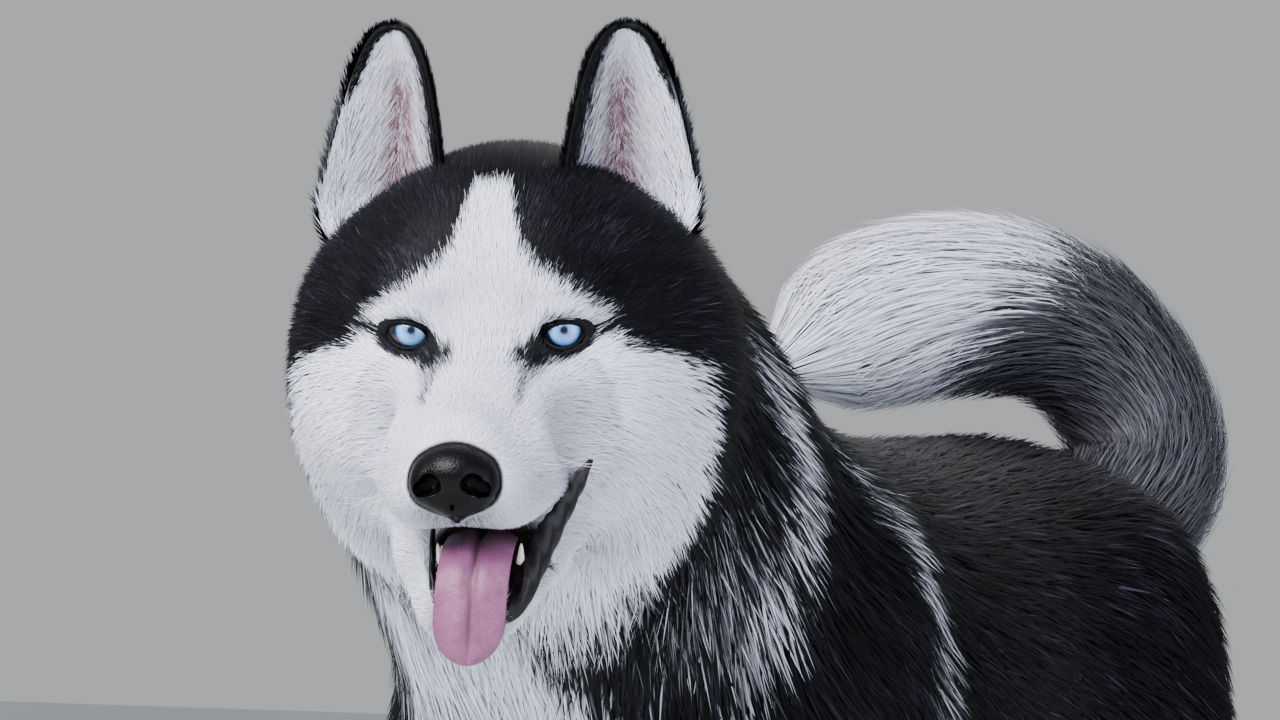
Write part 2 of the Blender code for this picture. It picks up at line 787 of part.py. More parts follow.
def lay_locks(roots, flow, length, half_width, half_thick, draw):
    """Locks that lie along the flow and bend with the form, from the core up to the coat's tips."""
    count = len(roots)
    normals = slopes(roots, form_distance)
    flow = np.broadcast_to(flow, roots.shape) + draw.normal(0, 0.10, roots.shape)
    flow = flow - normals * (flow * normals).sum(1)[:, None]
    flow /= np.linalg.norm(flow, axis=1)[:, None]
    depth = np.maximum(coat_depth(roots), 0.006)
    lengths = length * draw.uniform(0.85, 1.15, count)
    path = [roots - normals * 0.006]
    for share, level in zip(LOCK_STEPS[1:], (0.60, 0.22, -0.08)):
        points = roots + flow * (lengths * share)[:, None] + normals * depth[:, None]
        path.append(settle(points, lambda p: form_distance(p) + depth * level))
    ups = [slopes(points, form_distance) for points in path]
    for i in range(count):
        make_lock([row[i] for row in path], [row[i] for row in ups], half_width, half_thick)


def ring_rays(axis, angles, forward):
    """Unit rays square to an axis. Angle 0 is the ray nearest to forward."""
    axis = axis / np.linalg.norm(axis)
    zero = forward - axis * (axis @ forward)
    zero /= np.linalg.norm(zero)
    other = np.cross(axis, zero)
    return np.array([zero * math.cos(a) + other * math.sin(a) for a in angles])


RUFF_LINE = (np.array((0.030, -0.205, 0.600)), np.array((0.002, 0.030, 0.455)))
RUFF_ROWS = (0.16, 0.42, 0.66, 0.90)
RUFF_ROUND = 12
BIB_HEIGHTS = (0.440, 0.385)
BREECH_HEIGHTS = (0.455, 0.410, 0.368)


def lay_body_locks():
    """Ruff round the neck, bib on the chest and breeches behind the thighs."""
    draw = np.random.default_rng(7)
    top, bottom = RUFF_LINE
    axis = bottom - top
    for number, share in enumerate(RUFF_ROWS):
        angles = (np.arange(RUFF_ROUND) + 0.5 * (number % 2)) * 2 * math.pi / RUFF_ROUND
        rays = ring_rays(axis, angles, np.array((0.0, -1.0, 0.0)))
        starts = np.repeat([top + axis * share], RUFF_ROUND, axis=0)
        lay_locks(roots_outward(starts, rays), axis / np.linalg.norm(axis), 0.072, 0.0200, 0.0055, draw)
    for number, height in enumerate(BIB_HEIGHTS):
        angles = np.radians(np.linspace(-72, 72, 6) + 8 * (number % 2))
        rays = ring_rays(np.array((0.0, 0.0, 1.0)), angles, np.array((0.0, -1.0, 0.0)))
        starts = np.repeat([(0.0, -0.010, height)], 6, axis=0)
        lay_locks(roots_outward(starts, rays), np.array((0.0, 0.25, -1.0)), 0.070, 0.0180, 0.0055, draw)
    for side in (1, -1):
        for number, height in enumerate(BREECH_HEIGHTS):
            angles = np.radians(np.array((-30, 12)) + 14 * (number % 2)) * side
            rays = ring_rays(np.array((0.0, 0.0, 1.0)), angles, np.array((0.15 * side, 1.0, 0.0)))
            starts = np.repeat([(0.062 * side, 0.385, height)], 2, axis=0)
            lay_locks(roots_outward(starts, rays), np.array((0.0, 0.25, -1.0)), 0.062, 0.0180, 0.0055, draw)


CHEEK_ROWS = ((-0.066, (24, -10, -44)), (-0.090, (6, -28, -62)))


def lay_cheek_locks():
    """The ruff that stands out behind the cheeks, laid back and down."""
    draw = np.random.default_rng(11)
    turn = np.array(HEAD)[:3, :3]
    flow = turn @ np.array((-0.85, 0.0, -0.50))
    for side in (1, -1):
        for forward, angles in CHEEK_ROWS:
            rays = [turn @ (0.0, math.cos(a) * side, math.sin(a)) for a in np.radians(angles)]
            starts = np.array([in_head(forward, 0.015 * side, -0.040)] * len(angles))
            lay_locks(roots_outward(starts, np.array(rays)), flow, 0.048, 0.0175, 0.0045, draw)


def lay_tail_locks():
    """The brush: rows of locks round the core, laid along it and out to the tips."""
    draw = np.random.default_rng(8)
    places, directions = tail_line()
    frames = carried_frames(directions, (0, 0, 1))
    stations = np.linspace(0, 1, TAIL_STEPS)
    radii = np.interp(stations, np.linspace(0, 1, len(TAIL_RADII)), TAIL_RADII)

    def at(station, angle, share):
        """A place round the tail's line, at a share of the way out to the tips, and its outward direction."""
        spot = np.array([np.interp(station, stations, places[:, i]) for i in range(3)])
        spot = spot + directions[-1] * max(station - 1.0, 0.0) * TAIL_LENGTH
        near = min(int(station * (TAIL_STEPS - 1)), TAIL_STEPS - 1)
        side, up = frames[near]
        outward = side * math.cos(angle) + up * math.sin(angle)
        reach = np.interp(station, stations, radii) * max(1.0 - 6 * max(station - 0.98, 0.0), 0.3)
        return spot + outward * reach * share, outward

    lying = ((-0.01, TAIL_CORE - 0.14), (0.32, 0.70), (0.66, 0.90), (1.0, 1.02))
    rising = ((0.02, TAIL_CORE - 0.18), (0.10, 0.74), (0.50, 0.95), (1.0, 1.02))
    rows = [(share, lying) for share in np.linspace(0.13, 0.84, TAIL_ROWS)]
    rows += [(step / (TAIL_STEPS - 1), rising) for step in TAIL_CUTS.values()]
    for number, (start, marks) in enumerate(sorted(rows, key=lambda row: row[0])):
        for i in range(TAIL_ROUND):
            angle = 2 * math.pi * (i + 0.5 * (number % 2)) / TAIL_ROUND + draw.normal(0, 0.08)
            span = TAIL_LOCK_SPAN * draw.uniform(0.88, 1.10)
            spots = [at(start + span * along, angle, share) for along, share in marks]
            path = [spot for spot, _ in spots]
            lock = make_lock(path, [outward for _, outward in spots], 0.0170, 0.0050)
            if form_distance(points_of(lock.data)).min() < RUMP_CLEAR:
                remove(lock)


# Blocks that part the form


def box_corners(low, high):
    return [(x, y, z) for x in (low[0], high[0]) for y in (low[1], high[1]) for z in (low[2], high[2])]


def prism_corners(outline, half, frame=Matrix()):
    """Corners of an outline in a frame's first and third axes, drawn out along its second."""
    return [frame @ Vector((a, side * half, b)) for a, b in outline for side in (1, -1)]


HEAD_BLOCK = [(-0.158, 0.145), (0.160, 0.145), (0.160, -0.175), (-0.030, -0.175)]
JAW_BLOCK = [
    (-0.045, -0.098, 0.034), (0.020, -0.064, 0.052), (0.110, -0.078, 0.052),
    (0.110, -0.150, 0.052), (-0.040, -0.150, 0.034),
]
NECK_BLOCK = [(0.060, 0.659), (-0.200, 0.338), (-0.450, 0.338), (-0.450, 0.850), (0.060, 0.850)]


def leg_blocks(side):
    """Corners of the block that takes each leg, and of the floor blocks that part it further."""
    fore = [(x * side, y, z) for y in (-0.150, 0.088) for x, z in
            ((0.010, 0.258), (0.170, 0.338), (0.170, -0.030), (0.010, -0.030))]
    hind = [(0.012 * side, 0.300, 0.328), (0.170 * side, 0.325, 0.515),
            (0.012 * side, 0.640, 0.350), (0.170 * side, 0.640, 0.515),
            (0.012 * side, 0.200, -0.030), (0.170 * side, 0.200, -0.030),
            (0.012 * side, 0.640, -0.030), (0.170 * side, 0.640, -0.030)]
    return fore, hind


def flatten_soles(obj):
    """Presses what is at or under the floor to one level, so that each paw stands on a flat."""
    places = points_of(obj.data)
    places[places[:, 2] < SOLE_PRESS, 2] = 0.0
    move_points(obj.data, places)


def make_body():
    """Trunk, neck and legs as one form, then parted, with the tail let in."""
    still = Matrix()
    groups = [(body_masses(), still, False), (head_masses() + jaw_masses(), HEAD, True)]
    groups += [(leg_masses(*side), still, False) for side in SIDES]
    body = form_solid("loin", groups, core_distance, 0.006)
    flatten_soles(body)
    thinned(body, 2600)
    flatten_soles(body)
    fuse_locks(body)
    remainder = block("knife", prism_corners(HEAD_BLOCK, 0.16, HEAD), GAP)
    combine(body, remainder, "DIFFERENCE")
    remove(remainder)
    keep_largest(body)
    for step, label in zip(SIDES, ("left", "right")):
        fore, hind = leg_blocks(step[0])
        leg = part_off(body, "foreleg_" + label, fore)
        paw = part_off(leg, "forepaw_" + label, box_corners((-0.3, -0.3, -0.1), (0.3, 0.3, 0.056)))
        add_claws(paw, leg_masses(*step)[-8::2])
        leg = part_off(body, "thigh_" + label, hind)
        paw = part_off(leg, "hindpaw_" + label, box_corners((-0.3, 0.3, -0.1), (0.3, 0.7, 0.056)))
        add_claws(paw, leg_masses(*step)[-7::2])
        part_off(leg, "shank_" + label, box_corners((-0.3, 0.1, -0.1), (0.3, 0.7, 0.262)))
    part_off(body, "neck", [(x, y, z) for y, z in NECK_BLOCK for x in (-0.2, 0.2)])
    part_off(body, "chest", box_corners((-0.3, -0.3, 0.1), (0.3, 0.215, 0.8)))
    make_tail(body)
    return body


def make_head():
    """Head and jaw, with the ears, eyes, nose and tongue let in. The locks stay, for the body."""
    inverse = np.array(HEAD.inverted())

    def in_front(places):
        return places @ inverse[0, :3] + inverse[0, 3] > -0.14

    groups = [(body_masses()[-2:], Matrix(), False), (head_masses() + jaw_masses(), HEAD, True)]
    head = form_solid("head", groups, core_distance, 0.0028, in_front)
    thinned(head, 3600)
    fuse_locks(head, keep=True)
    knife = block("knife", prism_corners(HEAD_BLOCK, 0.16, HEAD))
    combine(head, knife, "INTERSECT")
    remove(knife)
    keep_largest(head)
    for side in (1, -1):
        open_lids(head, side)
        let_in(head, make_eye(side))
        let_in(head, make_ear(side))
    nose = form_solid("nose", [(NOSE_MASSES, HEAD, True)], nose_distance, 0.0013)
    thinned(nose, 400)
    let_in(head, nose)
    corners = [in_head(f, half * side, u) for f, u, half in JAW_BLOCK for side in (1, -1)]
    jaw = part_off(head, "jaw", corners)
    add_teeth(jaw)
    tongue = make_tongue()
    let_in(head, tongue)
    let_in(jaw, tongue)
    keep_largest(head)
    keep_largest(jaw)


def centre_on_floor():
    """Puts the middle of the whole dog's box over the origin."""
    objects = list(bpy.data.collections["husky"].objects)
    places = np.concatenate([points_of(obj.data) for obj in objects])
    middle = (places.min(axis=0) + places.max(axis=0)) / 2
    for obj in objects:
        move_points(obj.data, points_of(obj.data) - [middle[0], middle[1], 0])


COLOURS = {
    "black coat": ((0.022, 0.023, 0.030), 0.62),
    "white coat": ((0.78, 0.79, 0.83), 0.70),
    "nose": ((0.010, 0.010, 0.013), 0.30),
    "tongue": ((0.62, 0.28, 0.36), 0.40),
    "eye": ((0.30, 0.52, 0.78), 0.08),
}
FINISH = {"nose": "nose", "tongue": "tongue", "eye_left": "eye", "eye_right": "eye", "jaw": "white coat",
          "tail_tip": "white coat"}


def colour_all():
    made = {}
    for name, (colour, roughness) in COLOURS.items():
        material = bpy.data.materials.new(name)
        material.use_nodes = True
        shader = material.node_tree.nodes["Principled BSDF"]
        shader.inputs["Base Color"].default_value = (*colour, 1)
        shader.inputs["Roughness"].default_value = roughness
        made[name] = material
    for obj in bpy.data.collections["husky"].objects:
        plain = "white coat" if "paw" in obj.name or "leg" in obj.name else "black coat"
        obj.data.materials.clear()
        obj.data.materials.append(made[FINISH.get(obj.name, plain)])


def main():
    clear_scene()
    lay_cheek_locks()
    lay_body_locks()
    make_head()
    make_body()
    for obj in bpy.data.collections["husky"].objects:
        clean_faces(obj)
    centre_on_floor()
    colour_all()


main()
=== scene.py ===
"""A siberian husky as a life-size museum model: skin, coat, eyes, nose, mouth, claws and whiskers.

Metres, +Z up, the dog faces -Y. Tables and masses are in mm. The blended form of the solids is repeated
here and sunk by the coat's depth to make the skin. The coat grows from it in tufts along the hair's lie.
"""

import math

import bmesh
import bpy
import numpy as np
from mathutils import Matrix, Vector
from mathutils.kdtree import KDTree


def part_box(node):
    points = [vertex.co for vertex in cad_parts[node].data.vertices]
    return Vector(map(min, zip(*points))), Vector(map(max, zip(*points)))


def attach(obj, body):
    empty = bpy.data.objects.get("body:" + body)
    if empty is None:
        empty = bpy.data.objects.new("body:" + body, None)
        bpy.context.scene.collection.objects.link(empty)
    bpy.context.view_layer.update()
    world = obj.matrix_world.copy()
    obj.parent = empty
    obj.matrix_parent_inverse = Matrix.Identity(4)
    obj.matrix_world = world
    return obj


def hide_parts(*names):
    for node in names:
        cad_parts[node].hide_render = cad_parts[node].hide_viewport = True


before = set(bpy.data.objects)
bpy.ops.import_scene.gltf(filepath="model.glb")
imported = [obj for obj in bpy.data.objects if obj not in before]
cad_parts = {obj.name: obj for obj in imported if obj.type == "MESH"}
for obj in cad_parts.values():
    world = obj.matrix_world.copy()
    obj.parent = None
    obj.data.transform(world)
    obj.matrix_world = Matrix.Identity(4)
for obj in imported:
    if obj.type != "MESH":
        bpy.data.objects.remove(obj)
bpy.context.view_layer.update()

MM = 0.001
COAT_SHARE = 1.0

# Driving sizes of the dog in mm, over the coat. Each side is (sign, fore step, hind step)
WITHERS = 582
CROUP = 572
CHEST_DEPTH = 302
CHEST_HALF_WIDTH = 118
ELBOW_Z = 285
STANCE_FRONT = 64
STANCE_HIND = 78
SIDES = ((1, -6, 12), (-1, 12, -16))

# The head's own frame: its origin is midway between the eyes
HEAD_AT = Vector((0.06, -0.3, 0.6225))
HEAD_YAW = math.radians(20.0)
HEAD_PITCH = math.radians(12.0)
PUPIL_HALF = 0.033
EYE_BACK = 0.008
EYE_RADIUS = 0.0112
CORNEA_RADIUS = 0.0062


def head_matrix():
    """From the head's frame (forward, left, up) to the dog's frame."""
    forward = Vector((
        math.sin(HEAD_YAW) * math.cos(HEAD_PITCH),
        -math.cos(HEAD_YAW) * math.cos(HEAD_PITCH),
        -math.sin(HEAD_PITCH),
    ))
    left = Vector((math.cos(HEAD_YAW), math.sin(HEAD_YAW), 0.0))
    up = forward.cross(left)
    turn = Matrix((forward, left, up)).transposed().to_4x4()
    return Matrix.Translation(HEAD_AT) @ turn


HEAD = head_matrix()
HEAD_TURN = np.array(HEAD)[:3, :3]


def in_head(*place):
    return HEAD @ Vector(place)


def to_head(points):
    return (points - np.array(HEAD_AT)) @ HEAD_TURN


def from_head(points):
    return np.asarray(points) @ HEAD_TURN.T + np.array(HEAD_AT)


def both_sides(local):
    """Head places with the right side folded onto the left."""
    return local * [1, 0, 1] + np.abs(local) * [0, 1, 0]


# Where the solids stand: the same dog, moved so that its box is over the origin
low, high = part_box("eye_left")
SHIFT = (low + high) / 2 - in_head(-EYE_BACK, PUPIL_HALF, 0)


def unit(vectors):
    return vectors / (np.linalg.norm(vectors, axis=1)[:, None] + 1e-12)


# The blended form: every mass is a tapered cone between two joints, or an egg


def melt(first, second, soft):
    """Union of two distances whose seam is a fillet as wide as soft."""
    share = np.clip(0.5 + 0.5 * (second - first) / soft, 0.0, 1.0)
    return second * (1 - share) + first * share - soft * share * (1 - share)


def cone_distance(points, start, end, start_radius, end_radius, flat=1.0):
    scale = np.asarray(flat)
    start, end = np.asarray(start) / scale, np.asarray(end) / scale
    away = points / scale - start
    line = end - start
    along = np.clip(away @ line / (line @ line), 0.0, 1.0)
    reach = np.linalg.norm(away - along[:, None] * line, axis=1)
    return (reach - start_radius - along * (end_radius - start_radius)) * scale.min()


def egg_distance(points, centre, radii):
    away = points - np.asarray(centre)
    share = np.linalg.norm(away / radii, axis=1)
    slope = np.linalg.norm(away / np.square(radii), axis=1) + 1e-9
    return share * (share - 1.0) / slope


def egg(centre, radii, soft):
    """An egg-shaped mass: its distance function, its sizes, and the fillet where it joins, given in mm."""
    return egg_distance, (np.array(centre) * MM, np.array(radii) * MM), soft * MM


def cone(start, end, start_radius, end_radius, soft, flat=1.0):
    """A round-ended, tapered mass, stretched by flat along each axis."""
    sizes = np.array(start) * MM, np.array(end) * MM, start_radius * MM, end_radius * MM, flat
    return cone_distance, sizes, soft * MM


# Trunk and neck
BODY_MASSES = [
    egg((0, 95, WITHERS - CHEST_DEPTH / 2 - 5), (CHEST_HALF_WIDTH, 215, CHEST_DEPTH / 2), 20),
    egg((0, 35, WITHERS - 85), (88, 150, 86), 30),
    egg((0, -60, 405), (94, 85, 118), 40),
    egg((0, 280, CROUP - 117), (100, 180, 117), 50),
    egg((0, 385, CROUP - 98), (98, 108, 92), 40),
    cone((0, -10, 475), (12, -120, 556), 113, 103, 50),
    cone((12, -120, 556), (28, -200, 612), 104, 94, 30),
]


def leg_masses(side, front_step, hind_step):
    """Shoulder to paw and rump to paw on one side. The steps move the paws along the floor."""
    x, hx = STANCE_FRONT * side, STANCE_HIND * side
    wrist = (x, 4 + front_step, 105)
    elbow = (72 * side, 26 + front_step * 0.3, ELBOW_Z)
    point = (78 * side, -58, 372)
    knee = (84 * side, 330 + hind_step * 0.5, 322)
    hock = (hx, 498 + hind_step, 165)
    legs = [
        cone((70 * side, 10, 510), point, 44, 50, 40),
        cone(point, elbow, 50, 46, 35),
        cone(elbow, wrist, 45, 27.5, 30),
        cone(wrist, (x, -18 + front_step, 34), 27.5, 27, 15),
        egg((x, -38 + front_step, 22), (33, 45, 28), 12),
        egg((64 * side, 388, 412), (48, 98, 125), 40),
        egg((48 * side, 442, 432), (50, 50, 86), 40),
        cone((68 * side, 375, 400), knee, 64, 48, 40),
        cone(knee, hock, 52, 28, 30),
        cone(hock, (hx, 478 + hind_step, 46), 27.5, 25, 15),
        egg((hx, 450 + hind_step, 21), (31, 43, 27), 12),
    ]
    for number in range(4):
        spread = (number - 1.5) * 15.5
        reach = 10 if number in (1, 2) else 0
        legs.append(egg((x + spread, -66 - reach + front_step, 13), (10.5, 21, 17.5), 7))
        legs.append(egg((hx + spread * 0.92, 423 - reach + hind_step, 13), (10, 20, 16.5), 7))
    return legs


# Skull, muzzle, cheeks and jaw, in the head's frame, for both sides at once (left is positive)
HEAD_MASSES = [
    egg((-64, 0, 6), (60, 62, 60), 20),
    egg((-41, 12, 8), (36, 34, 41), 20),
    egg((-38, 42, -22), (44, 34, 38), 20),
    egg((-64, 51, -4), (40, 37, 44), 20),
    egg((-66, 50, -42), (46, 42, 55), 30),
    egg((-70, 46, -80), (40, 34, 40), 30),
    cone((-4, 0, -38), (78, 0, -41), 34, 23.5, 18),
    egg((60, 17.5, -49), (36, 18.5, 20), 10),
    egg((18, 24, -41), (45, 23, 22), 20),
    cone((20, 27, -44), (-46, 54, -46), 18, 30, 22),
    egg((-13, 31, 15), (16, 19, 9), 8),
    egg((-EYE_BACK / MM, PUPIL_HALF / MM, 0), (13.6, 13.6, 13), 6),
    cone((-45, 0, -55), (-110, 0, -45), 50, 65, 30),
    cone((-40, 30, -66), (26, 21, -88), 26, 16, 12),
    cone((26, 21, -88), (64, 10, -104), 16, 13.5, 8),
    cone((-30, 0, -85), (56, 0, -107), 24, 11.5, 10),
]


# The open mouth, in the head's frame, a little to the dog's left of the middle
MOUTH_ASIDE = 0.0055
MOUTH = cone((-4, 0, -74), (100, 0, -86.5), 12, 12, 4, (1, 1.6, 1))
LEGS = [(side[0], leg_masses(*side)) for side in SIDES]


def melted(points, masses, total=1.0):
    for distance, sizes, soft in masses:
        total = melt(total, distance(points, *sizes), soft)
    return total


def carved(points, masses, total):
    return -melted(points, masses, -total)


def form_distance(points):
    """How far each point is outside the coat's outer surface. It is negative inside."""
    total = melted(points, BODY_MASSES)
    for side, masses in LEGS:
        near = (points[:, 2] < 0.62) & (points[:, 0] * side > -0.07)
        total[near] = melted(points[near], masses, total[near])
    local = to_head(points)
    near = local[:, 0] > -0.22
    local = local[near]
    head = carved(local - [0, MOUTH_ASIDE, 0], (MOUTH,), melted(both_sides(local), HEAD_MASSES))
    total[near] = melt(total[near], head, 0.03)
    return total


def gradient(points, distance):
    """The distance at each point, and how fast it grows along each axis."""
    step = 0.0005
    value = distance(points)
    return value, np.stack([distance(points + off) - value for off in np.eye(3) * step], axis=1) / step


def settle(places, distance, rounds=4, longest=0.008):
    """Moves points onto the surface where distance is 0."""
    for _ in range(rounds):
        value, slope = gradient(places, distance)
        step = np.clip(value / np.maximum((slope**2).sum(1), 0.2), -longest, longest)
        places = places - slope * step[:, None]
    return places


# The lie of the left side's coat, in the head's frame or the dog's: (place, lie, length, depth)

HEAD_COAT = [
    ((96, 0, -18), (-1, 0, 0.3), 3, 1),
    ((75, 0, -18), (-1, 0.02, 0.15), 5, 1.5),
    ((45, 0, -8), (-1, 0.03, 0.25), 6, 2),
    ((20, 0, 0), (-0.9, 0.05, 0.45), 7, 2.2),
    ((0, 0, 18), (-0.75, 0.05, 0.65), 9, 2.5),
    ((-15, 0, 40), (-0.85, 0.05, 0.5), 12, 3),
    ((-40, 0, 62), (-1, 0, 0.2), 15, 4),
    ((-80, 0, 66), (-1, 0, -0.1), 20, 6),
    ((88, 22, -45), (-0.75, 0.35, -0.45), 4, 1.2),
    ((60, 32, -45), (-0.85, 0.25, -0.4), 6, 1.8),
    ((40, 20, -15), (-0.85, 0.45, -0.05), 6, 2),
    ((30, 40, -40), (-0.85, 0.35, -0.35), 8, 2.5),
    ((10, 30, -12), (-0.6, 0.6, -0.45), 5, 1),
    ((4, 34, 12), (-0.5, 0.35, 0.75), 5, 1),
    ((6, 18, 4), (-0.6, -0.1, 0.75), 5, 1.2),
    ((-2, 48, 2), (-0.55, 0.8, 0.1), 6, 1.5),
    ((0, 28, 26), (-0.65, 0.35, 0.65), 12, 3),
    ((-20, 58, 20), (-0.75, 0.55, 0.4), 15, 4),
    ((-30, 36, 50), (-0.85, 0.35, 0.35), 15, 4),
    ((-5, 62, -20), (-0.6, 0.65, -0.45), 16, 5),
    ((5, 58, -45), (-0.7, 0.45, -0.5), 16, 5),
    ((-30, 85, -30), (-0.7, 0.45, -0.55), 28, 9),
    ((-50, 92, -60), (-0.7, 0.3, -0.65), 34, 13),
    ((-40, 70, -90), (-0.6, 0.2, -0.75), 27, 11),
    ((-45, 85, 15), (-0.85, 0.35, -0.25), 24, 7),
    ((-80, 75, 10), (-0.95, 0.2, -0.3), 30, 10),
    ((0, 40, -85), (-0.8, 0.25, -0.5), 14, 4),
    ((40, 28, -95), (-0.9, 0.2, -0.35), 7, 2.2),
    ((60, 12, -115), (-0.95, 0.1, -0.25), 6, 1.8),
    ((20, 0, -110), (-0.95, 0, -0.3), 10, 3),
    ((-30, 0, -115), (-0.8, 0, -0.6), 22, 8),
    ((-70, 30, -140), (-0.5, 0, -0.85), 29, 16),
]
BODY_COAT = [
    ((20, -120, 650), (0, 0.92, -0.4), 48, 18),
    ((110, -120, 580), (0.05, 0.75, -0.65), 55, 20),
    ((110, -60, 480), (0.05, 0.6, -0.8), 55, 20),
    ((60, -190, 500), (0, 0.2, -0.98), 55, 20),
    ((0, -170, 440), (0, 0.1, -1), 60, 20),
    ((0, -130, 360), (0, 0.3, -0.95), 55, 19),
    ((0, -50, 290), (0, 0.8, -0.6), 40, 13),
    ((0, 20, 585), (0, 1, -0.05), 45, 15),
    ((0, 150, 575), (0, 1, 0), 42, 14),
    ((0, 300, 570), (0, 1, 0), 42, 13),
    ((0, 420, 540), (0, 0.85, -0.4), 45, 14),
    ((118, 50, 480), (0, 0.7, -0.7), 42, 14),
    ((118, 150, 420), (0, 0.9, -0.42), 42, 14),
    ((110, 280, 460), (0, 0.9, -0.4), 40, 13),
    ((100, 100, 300), (-0.3, 0.9, -0.2), 38, 12),
    ((0, 150, 280), (0, 1, 0), 36, 11),
    ((0, 280, 330), (0, 1, 0.1), 30, 9),
    ((110, 380, 460), (0, 0.55, -0.83), 42, 13),
    ((115, 330, 360), (0, 0.45, -0.88), 34, 10),
    ((70, 470, 430), (0, 0.2, -0.98), 62, 18),
    ((90, 450, 370), (0, 0.25, -0.97), 62, 18),
    ((85, -20, 380), (0, 0.3, -0.95), 38, 12),
    ((72, 20, 290), (0, 0.2, -0.98), 24, 7),
    ((64, 5, 200), (0, 0.15, -1), 13, 4),
    ((64, 0, 100), (0, 0.1, -1), 10, 3),
    ((64, -45, 35), (0, -0.85, -0.5), 8, 2),
    ((84, 360, 300), (0, 0.5, -0.85), 24, 7),
    ((78, 450, 210), (0, 0.6, -0.8), 16, 5),
    ((78, 490, 100), (0, 0, -1), 11, 3.5),
    ((78, 440, 30), (0, -0.85, -0.5), 8, 2),
]
HEAD_REACH = 0.017
BODY_REACH = 0.05


def coat_guides():
    """Every guide on both sides, in the dog's frame: places, lies, (length, depth) and reach."""
    rows = []
    for side in (1, -1):
        mirror = np.array((1, side, 1))
        for place, lie, *sizes in HEAD_COAT:
            rows.append((from_head(place * mirror * MM), HEAD_TURN @ (lie * mirror), sizes, HEAD_REACH))
        mirror = np.array((side, 1, 1))
        for place, lie, *sizes in BODY_COAT:
            rows.append((place * mirror * MM, lie * mirror, sizes, BODY_REACH))
    places, lies, sizes, reaches = (np.array(column) for column in zip(*rows))
    return places, unit(lies), sizes * MM, reaches


GUIDE_PLACES, GUIDE_LIES, GUIDE_SIZES, GUIDE_REACHES = coat_guides()


def guide_weights(points):
    """How much each guide counts at each point: a bell round it, and the nearest where all are far."""
    away = (points**2).sum(1)[:, None] - 2 * points @ GUIDE_PLACES.T + (GUIDE_PLACES**2).sum(1)
    away /= 2 * GUIDE_REACHES**2
    away -= away.min(axis=1)[:, None]
    weights = np.exp(-away)
    return weights / weights.sum(1)[:, None]


def coat_sizes(points):
    """Length and depth of the coat at each point."""
    return guide_weights(points) @ GUIDE_SIZES


def coat_lie(points):
    return guide_weights(points) @ GUIDE_LIES


# The tail's brush

TAIL_LINE = MM * np.array([
    (0, 420, 480), (22, 478, 512), (37, 509, 548), (31, 511, 583), (18, 492, 613), (0, 461, 634),
    (-24, 426, 642), (-52, 395, 639), (-79, 370, 628), (-102, 347, 612),
])
TAIL_RADII = MM * np.array((40, 46, 49, 48, 47, 48, 51, 53, 51, 36))
TAIL_LENGTH = 0.38
TAIL_CORE = 0.4
TAIL_STEPS = 25
TAIL_STATIONS = np.linspace(0, 1, TAIL_STEPS)
TAIL_REACH = np.interp(TAIL_STATIONS, np.linspace(0, 1, len(TAIL_RADII)), TAIL_RADII)


def along_line(where, stations, rows):
    """What rows, which stand at the stations, give at each place of where."""
    return np.stack([np.interp(where, stations, column) for column in np.transpose(rows)], axis=1)


def smooth_line(points, count):
    """Places evenly spread on a smooth curve through the points, and the curve's direction at each."""
    ends = [2 * points[0] - points[1], *points, 2 * points[-1] - points[-2]]
    dense = []
    for before, start, end, after in zip(ends, ends[1:], ends[2:], ends[3:]):
        for share in np.linspace(0, 1, 24, endpoint=False):
            dense.append(0.5 * (
                2 * start
                + (end - before) * share
                + (2 * before - 5 * start + 4 * end - after) * share**2
                + (3 * start - before - 3 * end + after) * share**3
            ))
    dense.append(points[-1])
    lengths = np.concatenate([[0], np.cumsum(np.linalg.norm(np.diff(dense, axis=0), axis=1))])
    places = along_line(np.linspace(0, lengths[-1], count), lengths, dense)
    directions = np.gradient(places, axis=0)
    return places, directions / np.linalg.norm(directions, axis=1)[:, None]


def carried_axes(directions, up):
    """A side and an up direction for each place of a line, carried along it without twisting."""
    axes = []
    for direction in directions:
        up = up - direction * (up @ direction)
        up /= np.linalg.norm(up)
        axes.append((np.cross(direction, up), up))
    return np.array(axes)


def tail_masses():
    """The brush's fleshy core as a chain of cones along its bent line."""
    places, _ = smooth_line(TAIL_LINE, TAIL_STEPS)
    radii = TAIL_CORE * TAIL_REACH
    last = int(TAIL_STEPS * 0.88)
    chain = zip(places[:last], places[1:last], radii[:last], radii[1:last])
    return [(cone_distance, sizes, 0.004) for sizes in chain]


TAIL_MASSES = tail_masses()

# The head's finer shape: hollows beside the muzzle and the brows, the eye's pit, the mouth and the nose

HOLLOWS = [
    egg((40, 60, -30), (31, 26.5, 31), 9),
    egg((26, 16, 10), (14, 6, 9), 8),
    cone((12, 0, 34), (-24, 0, 66), 4, 3, 10),
    egg((113, 0, -12), (30, 32, 15), 8),
]
EYE_PIT = egg((4, 34, -1), (8.5, 11.4, 7.2), 1.5)
INNER_MOUTH = egg((44, 0, -86), (48, 24.5, 16.5), 3)
LID_HALF_WIDTH = 0.0108
LID_RISE = 0.0054
LID_DROP = 0.0064
LID_TILT = math.radians(8)
NOSE_MASSES = [
    egg((90, 0, -38.5), (16.5, 17.2, 11.8), 4),
    egg((93, 11, -43), (11.8, 8.2, 10), 3),
    egg((93.5, 0, -49.5), (10, 11.5, 7.8), 4),
    cone((98, 0, -52), (91.5, 0, -59), 4.2, 1.8, 3),
]
NOSTRILS = [
    egg((106.5, 9, -41.5), (8.5, 5.2, 5.2), 2),
    egg((103.5, 12.4, -43.6), (7.5, 4.2, 3.6), 2),
    cone((102, 13, -45), (93, 19, -47.5), 2.2, 1.2, 2),
    cone((108.5, 0, -43), (97.5, 0, -59), 1, 1, 1),
]


